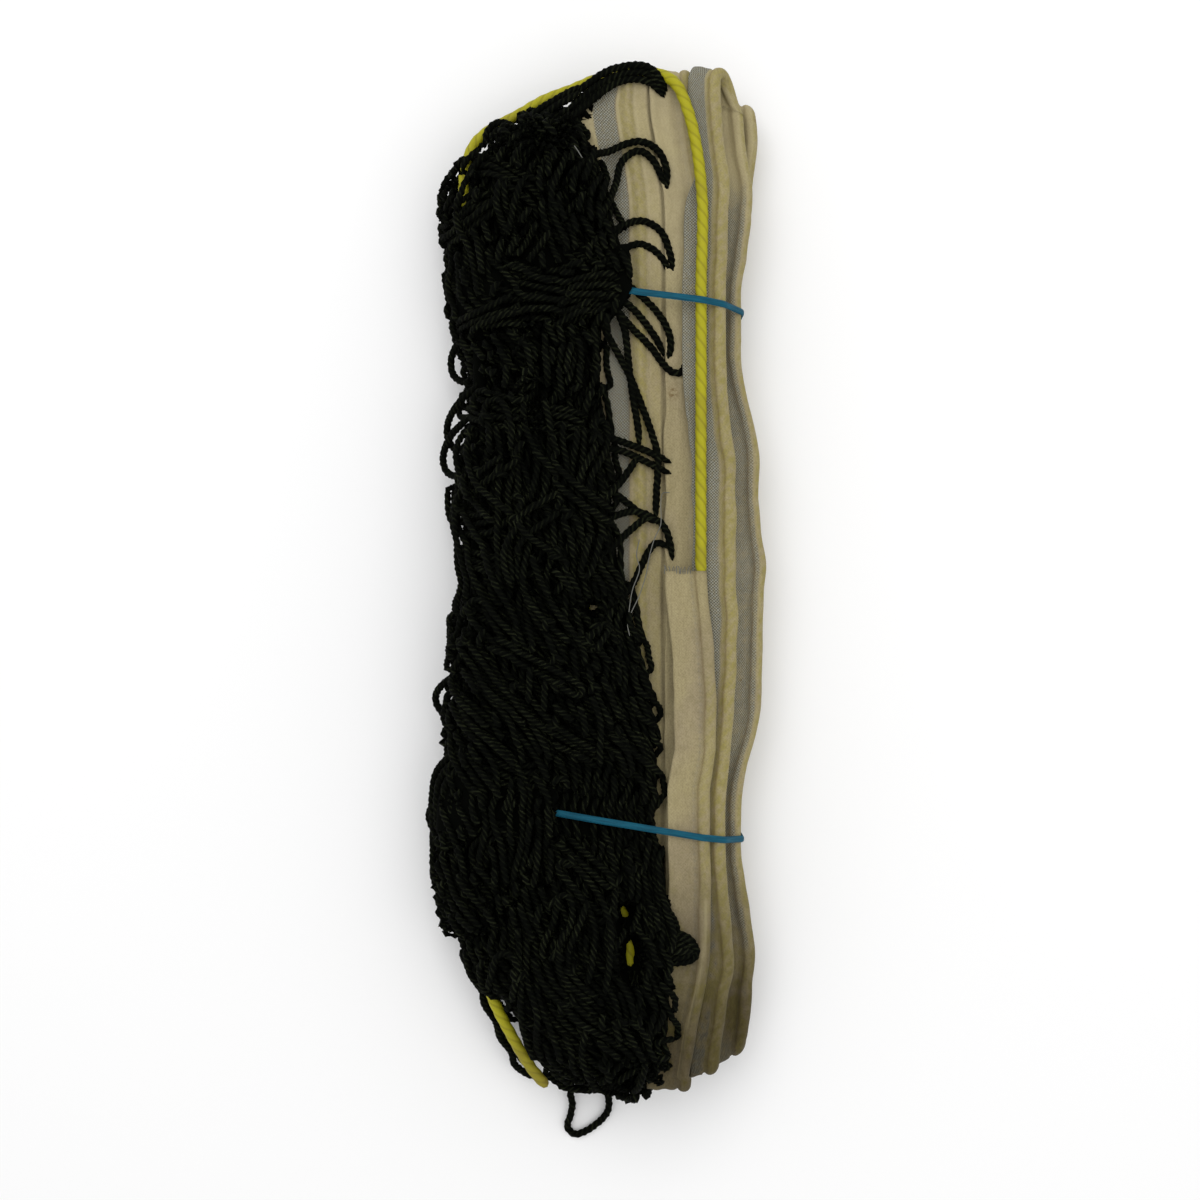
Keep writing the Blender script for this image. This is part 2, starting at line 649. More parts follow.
def lap_centres(laps, step):
    """The line of the tape's tunnel through some laps one after another: straight runs along y, joined by
    half turns. Gives x, y, z, the turn in radians, the column and the lap number, all as arrays."""
    rows = []
    turn = 0.0
    for k in laps:
        c = column_of(k)
        z = FIRST_ROW_Z + ROW_PITCH * row_of(k)
        start = MOUTH_Y + MOUTH_STAND if k == 1 else fold_y(k - 1) - HOP_DROP.get(k - 1, 0.0)
        end = fold_y(k)
        y = np.linspace(start, end, int(abs(end - start) / step) + 2)
        rows.append([np.full(len(y), float(c)), y, np.full(len(y), z), np.full(len(y), turn),
                     np.full(len(y), k)])
        if k < LAP_COUNT:
            way = -1.0 if k % 2 else 1.0
            rise = ROW_PITCH * (row_of(k + 1) - row_of(k))
            spin = way if rise < 0 else -way
            a = np.linspace(0, math.pi, 14)[1:14 if k == laps[-1] else 13]
            y = end + way * abs(rise) / 2 * np.sin(a) - HOP_DROP.get(k, 0.0) * ease(a / math.pi)
            rows.append([c + (column_of(k + 1) - c) * a / math.pi, y, z + rise * (1 - np.cos(a)) / 2,
                         turn + spin * a, np.full(len(a), k + 0.5)])
            turn += spin * math.pi
    c, y, z, spin, lap = np.hstack(rows)
    x = column_x(c, np.clip(y, FOLD_BOTTOM, FOLD_TOP)) + column_shift(c, y)
    x = x + np.where(lap < 2, front_shift(y), 0) * (1 - ease(lap - 1))
    leaning = -TOP_LEAN * np.clip(c - 1, 0, 1) * (lap > 10)
    x = x + ease((y - 205) / 35) * np.where(lap > 11.7, TOP_SPREAD, leaning)
    return x, y, z + lift(TAPE_X + c * COLUMN_STEP, y), spin, c, lap


# The canvas's thickness, and how many points the tape's section has on each flat and round the tunnel.
CANVAS_T, FLAT_POINTS, TUNNEL_POINTS = 0.6, 12, 17


def tape_profile():
    """The folded tape's section about the tunnel's axis: the canvas runs in along the upper flat, round the
    tunnel and back along the lower flat. Outer and inner faces make one closed loop. Also how far along the
    canvas each point lies, and which share of it is tunnel."""
    t, r, flat = CANVAS_T, TUNNEL_R - 0.3, FLAT_POINTS
    a = np.radians(np.linspace(152, -152, TUNNEL_POINTS))
    arc = np.stack([r * np.cos(a), r * np.sin(a)], 1)
    x = -r - 1.2 - (TAPE_FLAT - 1.2) * np.linspace(1, 0, flat)
    upper = np.stack([x, np.full(flat, t / 2 + 0.02)], 1)
    line = np.vstack([upper, arc, upper[::-1] * (1, -1)])
    d = unit(np.gradient(line, axis=0), 0.0)
    n = np.stack([-d[:, 1], d[:, 0]], 1)
    s = lengths_along(line)
    s = s - s[-1] / 2
    tunnel = np.concatenate([np.zeros(flat), np.ones(TUNNEL_POINTS), np.zeros(flat)])
    loop = np.vstack([line + n * t / 2, (line - n * t / 2)[::-1]])
    return loop, np.concatenate([s, s[::-1]]), np.concatenate([tunnel, tunnel[::-1]])


def sweep_tape(x, y, z, spin, flat, crumple, seed, edge_up, skew):
    """Carries the folded tape's section along its line. The flats' width changes along it, crumple is the
    height of its soft waves, edge_up is how far the flats' free edges stand up and skew how far the section
    slants, at each point of the line. The waves are sums of sines, and grow with the distance from the
    tunnel."""
    base, across, tunnel = tape_profile()
    n = len(x)
    stretch = np.where(base[:, 0] < -TUNNEL_R, 1.0, 0.0)[None, :]
    a = base[None, :, 0] + stretch * (base[None, :, 0] + TUNNEL_R) * (flat[:, None] / TAPE_FLAT - 1)
    b = np.repeat(base[None, :, 1], n, 0)
    s = lengths_along(np.stack([x, y, z], 1))
    far = np.clip(-(a + TUNNEL_R) / TAPE_FLAT, 0, 1)
    spans = ((26, 110), (14, 50), (24, 150), (9, 60))
    long, short, sideways, edge = (waves(seed + k, 6, *span)(s)[:, None] for k, span in enumerate(spans))
    soft = crumple[:, None]
    b = b + (long * far + 0.8 * short * np.sin(far * 4.6)) * soft
    b = b + np.cos(spin)[:, None] * (edge_up[:, None] * far ** 2)
    b = b + (0.3 * np.sin(far * 12.0 + 1.5 * short) * ease(far * 3)) * soft
    a = a + sideways * soft * 1.3 - 0.9 * edge * np.minimum(soft, 1.0) * far ** 3
    swell = np.where(tunnel[None, :] > 0, 1 + 0.09 * waves(seed + 7, 5, 16, 70)(s)[:, None], 1.0)
    a, b = a * swell, b * swell
    out = np.sign(y - FOLD_MID) * 2.8 * abs(np.sin(spin))
    slant = skew[:, None] * a + out[:, None] * ease(far * 9 + 0.35)
    points = np.stack([x[:, None] + a, y[:, None] + slant + b * np.sin(spin)[:, None],
                       z[:, None] + b * np.cos(spin)[:, None]], -1)
    return points, s, across


def add_tape(name, points, s, across, marks):
    """A piece of canvas from the rings of its section, with closed ends, its map and its marks."""
    n, m = points.shape[:2]
    ends = closed_ends(n, m)
    uv = np.vstack([ring_map(s, across).reshape(-1, 2), np.zeros((ends.size, 2))])
    return add_piece(name, points.reshape(-1, 3), [ring_faces(n, m), ends], finish_of("sewn_canvas"),
                     "bundle", uv, marks)


def closed_ends(rows, cols):
    """Fans over the first and last ring of a swept loop whose outer and inner halves mirror each other."""
    half = cols // 2
    j = np.arange(half - 1)
    first = np.stack([j, j + 1, cols - 2 - j, cols - 1 - j], 1)
    last = first[:, ::-1] + (rows - 1) * cols
    return np.vstack([first, last])


# Brown stains, as the image point and the reach in millimetres.
STAINS = (("brown_stain", 2.4), ("fold_stain", 2.6))


def length_property(name, description, default):
    """A size that a user may change, in metres."""
    return FloatProperty(name=name, description=description, default=default, unit="LENGTH")


def colour_property(name, description, default):
    """A colour that a user may change."""
    return FloatVectorProperty(name=name, description=description, default=default, subtype="COLOR", size=3,
                               min=0, max=1)


class CourtNetSizes(bpy.types.PropertyGroup):
    """Sizes of what the scene adds to the CAD frame."""

    rope: length_property("Rope", "Diameter of the yellow rope", 0.006)
    twine: length_property("Twine", "Diameter of the black twine", 0.0038)
    twine_pitch: length_property("Twine lay", "Length of one turn of the twine's strands", 0.0094)
    rope_pitch: length_property("Rope lay", "Length of one turn of the rope's strands", 0.0195)
    crumple: length_property("Crumple", "Height of the canvas's soft waves", 0.0008)
    band_width: length_property("Band width", "Width of an elastic band", 0.0034)


class CourtNetColours(bpy.types.PropertyGroup):
    """Colours of the finishes."""

    canvas: colour_property("Canvas", "Cream canvas", linear(168, 156, 119))
    canvas_light: colour_property("Canvas, light", "Cleaner canvas, and raised rims", linear(190, 178, 138))
    canvas_pink: colour_property("Canvas, pinker", "Canvas where it is warmer", linear(160, 147, 120))
    canvas_yellow: colour_property("Canvas, yellow", "Canvas with the rope behind it", linear(152, 142, 78))
    canvas_shade: colour_property("Canvas, soiled", "Soiled canvas", linear(128, 117, 86))
    canvas_soil: colour_property("Canvas, soil", "What soil takes from the canvas's colour",
                                 linear(128, 124, 116))
    weave_thread: colour_property("Weave", "Threads of the open weave", linear(156, 156, 144))
    weave_gap: colour_property("Weave gap", "Gaps of the open weave", linear(66, 66, 60))
    stain: colour_property("Stain", "Brown stains", linear(96, 72, 38))
    rope: colour_property("Rope", "Yellow rope", linear(166, 160, 16))
    rope_light: colour_property("Rope, light", "Filaments that catch the light", linear(186, 180, 48))
    rope_shade: colour_property("Rope, shade", "Between the rope's strands", linear(146, 139, 12))
    twine: colour_property("Twine", "Black twine", linear(3, 4, 2))
    twine_dust: colour_property("Twine, dusty", "Dust on the twine's ridges", linear(35, 39, 24))
    twine_fibre: colour_property("Twine, fibre", "Single light fibres", linear(64, 67, 44))
    band: colour_property("Band", "Blue elastic", linear(10, 72, 92))
    band_light: colour_property("Band, light", "Stretched elastic", linear(16, 92, 114))
    band_shade: colour_property("Band, shade", "Between the ribs", linear(3, 42, 58))
    thread: colour_property("Thread", "White sewing thread", linear(112, 112, 106))
    floor: colour_property("Floor", "Studio floor", linear(250, 250, 250))


class CourtNetStudio(bpy.types.PropertyGroup):
    """Light of the studio."""

    key: FloatProperty(name="Key", description="Power of the large light", default=9.0, unit="POWER")
    fill: FloatProperty(name="Fill", description="Strength of the light from all round", default=0.75)


def sizes():
    """The user's sizes."""
    return bpy.context.scene.court_net_sizes


def colours():
    """The user's colours."""
    return bpy.context.scene.court_net_colours


def finish_of(name):
    """The material of that name, made once."""
    makers = {"sewn_canvas": canvas_material, "yellow_rope": rope_material, "black_twine": twine_material,
              "blue_elastic": band_material,
              "dark_netting": lambda c: plain_material(name, linear(4, 5, 3), 1.0, 0.5),
              "sewing_thread": lambda c: plain_material(name, c.thread, 0.8)}
    known = bpy.data.materials.get(name)
    return known if known else makers[name](colours())


# Half the floor's side, in metres.
FLOOR_REACH = 1.6


class COURTNET_OT_stage(bpy.types.Operator):
    """Camera, floor and light"""

    bl_idname = "court_net.stage"
    bl_label = "Studio"

    def execute(self, context):
        studio = context.scene.court_net_studio
        camera = bpy.data.cameras.new("camera")
        camera.lens, camera.sensor_width, camera.sensor_fit = CAMERA_LENS, CAMERA_SENSOR, "AUTO"
        camera.shift_x, camera.shift_y = CAMERA_SHIFT
        eye = bpy.data.objects.new("camera", camera)
        eye.location = CAMERA_PLACE
        context.scene.collection.objects.link(eye)
        context.scene.camera = eye
        corners = np.array([[-1, -1, 0], [1, -1, 0], [1, 1, 0], [-1, 1, 0]]) * FLOOR_REACH / MM
        floor = add_piece("floor", corners, [np.array([[0, 1, 2, 3]])],
                          plain_material("pale_floor", colours().floor), None)
        for name, place, size, power in (("key", (-0.35, 0.75, 1.5), 1.2, studio.key),
                                         ("low", (0.7, -0.2, 1.4), 1.0, studio.key * 0.35)):
            light = bpy.data.lights.new(name, "AREA")
            light.size, light.energy = size, power
            lamp = bpy.data.objects.new(name, light)
            lamp.location = place
            lamp.rotation_euler = Vector(place).to_track_quat("Z", "Y").to_euler()
            context.scene.collection.objects.link(lamp)
        context.scene.view_settings.view_transform = "Standard"
        world = bpy.data.worlds.new("studio")
        context.scene.world = world
        world.use_nodes = True
        sky = world.node_tree.nodes["Background"].inputs
        sky["Color"].default_value = (1, 1, 1, 1)
        sky["Strength"].default_value = studio.fill
        return {"FINISHED"}


# Routes of the ropes, in millimetres, as in part.scad.
TAIL_ROUTE = [[50.5, 40, 48.6], [50.5, 72, 48.6], [50.5, 104, 49.8], [50.5, 133, 50.8], [50.5, 160, 50.8],
    [51.2, 182, 50], [51, 204, 48.8], [48, 229, 48.4], [43.5, 247, 48], [38, 259.5, 45.5], [29, 266.3, 40],
    [15, 267.2, 37], [0, 265, 36.5], [-14, 259, 37.5], [-28, 253.5, 38], [-42, 245.5, 38.2],
    [-56, 238, 38.2], [-65, 228.5, 38.2], [-69, 212, 38.2], [-66.5, 195, 38.8], [-61.5, 176, 40.4],
    [-61, 160, 40.4], [-61, 136, 40.2], [-61, 84, 38.2], [-61.2, 50, 38.2], [-62, 18, 38.2],
    [-63.5, -14, 38.2], [-65.5, -46, 38.4], [-67.5, -73, 39.8], [-68, -90, 40.4], [-68, -112, 40.4],
    [-67.5, -138, 39], [-65, -162, 38.2], [-60, -186, 38.2], [-52.5, -206, 38.2], [-43, -224, 38.2],
    [-35, -237.5, 36.8], [-27.5, -247, 35]]
FOOT_ROUTE = [[-4.9, 202, 38.6], [-4.4, 190, 39.2], [-4.1, 165, 40.4], [-4.1, 139, 40.4], [-4.1, 124, 39.8],
    [-4.1, 90, 38.2], [-4.1, 50, 38.2], [-4.1, 10, 38.2], [-4.1, -30, 38.2], [-4.1, -62, 39.2],
    [-4.1, -95, 40.4], [-4.1, -121, 40.4], [-2, -136, 39.8], [6, -149, 38.9], [12.5, -161, 38.3],
    [15, -174, 38.2], [14.5, -189, 38.2], [10.5, -203, 38.2], [4, -215, 38.2], [-3, -225, 38.2]]


def point_at(path, y):
    """The point of a path nearest to y."""
    return path[int(np.argmin(abs(path[:, 1] - y)))]


def upwards(path):
    """Straight up, at each of a path's points."""
    return np.broadcast_to(np.array([0.0, 0.0, 1.0]), path.shape)


def laid_rope(name, route):
    """A yellow rope of three strands along a route, and the path that it follows."""
    path = curve_through(route, 2.0)
    size = sizes()
    rope = tube(path, upwards(path), size.rope / MM / 2, 3, 0.1, 4, size.rope_pitch / MM, 0.0, 0.7)
    points, faces, uv = join([rope])
    return add_piece(name, points, faces, finish_of("yellow_rope"), "bundle", uv), path


class COURTNET_OT_ropes(bpy.types.Operator):
    """Head rope's tail, its length inside the front lap, and the foot rope"""

    bl_idname = "court_net.ropes"
    bl_label = "Ropes"

    def execute(self, context):
        mouth = [TAPE_X, MOUTH_Y, FIRST_ROW_Z + ROW_PITCH * row_of(1)]
        tail, path = laid_rope("head_rope_tail", [mouth] + TAIL_ROUTE)
        [c * MM for c in mouth]
        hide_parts("rope_tail")
        top = np.array([0, 0, 3.0])
        SHOWN["rope_at_mouth"] = (point_at(path, MOUTH_Y + MOUTH_STAND + 2) + top) * MM
        SHOWN["rope_end"] = path[-1] * MM
        y = np.arange(FOLD_BOTTOM + 37, MOUTH_Y + 0.1, 6.0)
        inside = np.stack([column_x(0, y) + front_shift(y), y, mouth[2] + lift(TAPE_X, y)], 1)
        core, _ = laid_rope("head_rope_core", inside)
        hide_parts("rope_core")
        foot, path = laid_rope("foot_rope_dressed", FOOT_ROUTE)
        SHOWN["rope_in_netting"] = (point_at(path, NET_HOLES[1][1]) + top) * MM
        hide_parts("foot_rope")
        return {"FINISHED"}


def between(value, low, high, soft=1.2):
    """1 from low to high, easing in after low and out after high."""
    return ease((value - low) / soft) * (1 - ease((value - high) / soft))


def ridge_at(value, middle, wide):
    """A soft ridge, 1 at the middle, as exp(-((value - middle) / wide)^2)."""
    return np.exp(-((value - middle) / wide) ** 2)


def tape_marks(across, s, y, c, lap):
    """The canvas's marks at each point: by how near the tunnel's crown it lies across the tape, by its
    column, and on the front lap by how far along. Beside the tunnel the weave stands open, and round it the
    rope shows."""
    near = abs(across) * np.ones((len(y), 1))
    column, y = c[:, None], y[:, None]
    front = (lap < 1.5)[:, None]
    at_top = 1 - 0.75 * ease((y - 196) / 30) * (column > 1.5)
    opened = np.where(column < 0.5, 0.25 * between(near, 10, 13),
                      np.where(column < 1.5, between(near, 10.2, 30), between(near, 4.0, 30) * 0.72) * at_top)
    rope = np.where(column < 0.5, 1 - ease((near - 6) / 3),
                    np.where(column < 1.5, 1 - ease((near - 9) / 3), 1 - ease((near - 3) / 2)))
    shows = 0.15 + 0.6 * ease((-25 - y) / 30) * (1 - ease((-130 - y) / 30))
    rim = front * ridge_at(across, -4.2 - 3.2 * ease((-152 - y) / 75), 0.85) * ease((-146 - y) / 8)
    seam = ridge_at(near, 10.6, 0.28) + ridge_at(near, 12.6, 0.28)
    crease = ridge_at(near, 7.9, 0.55) * (0.75 + 0.25 * waves(77, 6, 12, 60)(s)[:, None])
    return {"open": opened, "rope": rope * (1 - front * (1 - shows)), "crease": crease, "rim": rim,
            "seam": np.where(column < 0.5, seam, 0)}


class COURTNET_OT_tape(bpy.types.Operator):
    """Head tape: three columns of laps of folded canvas"""

    bl_idname = "court_net.tape"
    bl_label = "Head tape"

    def execute(self, context):
        columns = (("head_tape_a", range(1, LAPS_A + 1)),
                   ("head_tape_b", range(LAPS_A + 1, LAPS_A + LAPS_B + 1)),
                   ("head_tape_c", range(LAPS_A + LAPS_B + 1, LAP_COUNT + 1)))
        crumple = sizes().crumple / MM
        at_folds = COLUMN_STEP - 2 * TUNNEL_R - 0.3
        for number, (name, laps) in enumerate(columns):
            x, y, z, spin, c, lap = lap_centres(laps, 2.5)
            near_fold = ease((abs(y - FOLD_MID) - FOLD_L / 2 + 52) / 16)
            narrow = np.where(c > 0, np.where((y < 0) | (lap > 11.6), at_folds, 9.5), TAPE_FLAT)
            top_skew, low_skew = (np.interp(c, (0, 1, 2), skews) for skews in zip(*FOLD_SKEW))
            skew = top_skew * ease((y - 222) / 32) + low_skew * ease((-190 - y) / 40)
            wide = np.where((c > 0) & (c < 2), TAPE_FLAT, np.where(c >= 2, 12.0, TAPE_FLAT - 0.8))
            flat = wide * (1 - near_fold) + narrow * near_fold
            slack = 1 - squeeze(x, y)
            in_view = (lap < 2.4) | (lap == 10) | (lap == 11)
            loose = np.where(in_view, 1.6, 0.8) * crumple * (1 - 0.85 * squeeze(x, y))
            stand = np.where((lap == 2) | (lap == 1), 0.9,
                             np.where(lap == 11, 11.0 * slack * ease((254 - y) / 16), 0.0))
            points, s, across = sweep_tape(x, y, z, spin, flat, loose, 31 + 10 * number, stand, skew)
            piece = add_tape(name, points, s, across, tape_marks(across, s, y, c, lap))
            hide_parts(*["tape_front" if k == 1 else f"tape_lap_{k:02d}" for k in laps])
            if number == 0:
                mouth = points[0]
                SHOWN["pocket_mouth"] = mouth[mouth[:, 2] > mouth[:, 2].mean()].mean(axis=0) * MM
        return {"FINISHED"}


# ---- netting

# Edges of the netting seen from above, as [y, x] in millimetres.
NET_LEFT = [[-256, -16], [-251, -23], [-240, -32], [-225, -45], [-215, -53], [-207, -60], [-197, -65],
    [-189, -71], [-174, -77], [-154, -81], [-133, -83], [-118, -82.5], [-104, -82], [-97, -78.5], [-82, -77],
    [-61, -77], [-41, -76.5], [-20, -76], [0, -74.5], [21, -73.5], [51, -74.5], [77, -74], [96, -70],
    [104, -66.5], [113, -65], [124, -66.5], [136, -72], [154, -75], [184, -76.5], [197, -80], [206, -79],
    [221, -71], [227, -63.5], [236, -51.5], [243, -44], [246, -33], [252, -21], [257, -9]]
NET_RIGHT = [[-256, 8], [-250, 17], [-242, 26], [-232, 33], [-222, 37], [-200, 39], [-170, 40], [-150, 37.5],
    [-125, 33.5], [-75, 33.5], [-50, 30], [-25, 25], [0, 20], [20, 14], [50, 11], [76, 9], [101, 6],
    [136, 5], [148, 14], [156, 19], [166, 17], [176, 15.5], [201, 8.5], [212, 6], [226, -3], [241, -8],
    [250, -11], [256, -13]]
NET_ENDS = (-249.0, 256.0)
# Which way the cords run, as [x, y, slope]: millimetres across for each millimetre along.
FLOW = [[-65, 235, 0], [-30, 235, 0.1], [-10, 235, -0.2], [-40, 180, 0.45], [-20, 180, 0.35],
    [0, 190, -0.25], [5, 165, -0.3], [-65, 160, -0.15], [-50, 120, -0.1], [-20, 120, 0], [0, 110, -0.1],
    [-65, 100, -0.5], [-60, 75, -0.4], [-30, 65, 0], [-5, 60, -0.1], [-65, 40, -0.45], [-35, 20, -0.3],
    [0, 20, -0.4], [-40, 5, -0.5], [-60, -25, -0.6], [-30, -25, -0.45], [5, -25, -0.45], [20, -25, -0.3],
    [-60, -60, -0.6], [-30, -60, -0.45], [0, -60, -0.4], [25, -70, -0.1], [-65, -125, -0.35],
    [-40, -125, -0.1], [-10, -125, -0.15], [20, -125, -0.15], [-65, -165, -0.5], [-30, -165, -0.1],
    [0, -165, -0.12], [25, -165, 0], [-50, -200, -0.35], [-20, -200, -0.05], [10, -200, 0.05],
    [30, -200, 0.05]]
# The bands' loops at the waist, as [x, z, r] of what they go round, as in part.scad.
WAIST_TAPE = [[59.5, 46.6, 3.6], [68.5, 33.1, 3.6], [68.5, 6.1, 3.6]]
BAND_CORNERS = (
    WAIST_TAPE + [[-68, 5.2, 3], [28.5, 5.2, 3], [-68, 33.6, 3], [-61.2, 40.4, 3], [-54, 45, 3],
                  [-10.7, 45, 3], [50.5, 48.9, 3], [50.5, 50.8, 3]],
    WAIST_TAPE + [[-79.6, 5.2, 3], [28.5, 5.2, 3], [-79.6, 33.6, 3], [-68, 40.4, 3], [-61, 45, 3],
                  [-10.7, 45, 3], [-4.3, 50.4, 3], [28.5, 50.4, 3], [50.5, 51.1, 3.6]])
BAND_GAP, BAND_T = 0.5, 1.0
# How far each band lies from its CAD line, and how much steeper it runs.
BAND_OFF = ((4.3, 0.025), (-1.75, 0.054))
# Where the netting opens over a rope under it, as [x, y, half width, half length, depth].
NET_HOLES = [[13.5, -157, 5.6, 6.5, 12], [15.2, -179, 6.4, 13.0, 13], [-3.6, -4, 3.8, 4.2, 11]]
# Stretches of the head rope's tail that show past the netting, with how near to each a stretch of cord may
# start on the pile's surface, and how near any cord above it may come, seen from above.
ROPE_SHOWS = [TAIL_ROUTE[11:18], [[-71.0, 212, 38.2], [-71.0, 210, 38.2]], TAIL_ROUTE[34:]]
ROPE_ROOM, ROPE_APART = (4.4, 2.4, 8.2), (3.1, 2.2, 4.7)
# The stretch of the tail's route that runs under the netting.
COVERED_TAIL = TAIL_ROUTE[19:34]
# Left of here the netting covers the bands.
BAND_COVERED = (15.0, -23.0)

# How far the cords reach past the inner surface at the left, and how far it is cut back at the right.
LEFT_ROOM, RIGHT_ROOM = 10.0, 4.0
# What is left of the surface's width at its ends, and how much more it has between them.
END_WIDTH, MORE_WIDTH = 0.72, 0.28
# Height of the pile's top and of its right edge, and how much lower the top is in a waist.
PILE_TOP, PILE_SIDE, WAIST_DROP = 51.0, 42.2, 8.6
# How high cords may stand off the surface: everywhere, and where it faces right or the upper end.
OPEN_ROOM, STEEP_ROOM = 20.0, 6.4
# How high the surface has to be for the steep parts' limit, and for a rope's room to count.
FLOOR_BAND, ROPE_FLOOR = 12, 9
# A ceiling that keeps every cord out, and the radius over which a place's flow counts, squared.
SHUT, FLOW_REACH = -3.0, 900
# A superellipse's power, as 2 over its exponent: round the pile's long edges, and round its ends.
EDGE_POWER, END_POWER = 2 / 2.4, 2 / 2.6


def reach_out(corners, grow, x, z, nx, nz):
    """How far a band's loop lies from points inside it along their normals: the loop is convex, so that is
    the least of (support - point . d) / (normal . d) over directions d."""
    a = np.radians(np.arange(0, 360, 3.0))
    d = np.stack([np.cos(a), np.sin(a)], 1)
    support = np.max([c[0] * d[:, 0] + c[1] * d[:, 1] + c[2] + grow for c in corners], axis=0)
    far = np.full(np.shape(x), np.inf)
    for (dx, dz), h in zip(d, support):
        facing = nx * dx + nz * dz
        way = (h - x * dx - z * dz) / np.maximum(facing, 0.05)
        far = np.minimum(far, np.where(facing > 0.05, way, np.inf))
    return far


# How many steps to either side a cord's stiffness reaches, how far under the surface its ends dive, and the
# height below which cords may come near the rope.
STIFF, DIVE_DEPTH, ROPE_BELOW = 5, 2.4, 26
# How high draped cords may lie, and their shortest stretch.
DRAPE_LIMIT, DRAPE_SHORTEST = 17.0, 9.0


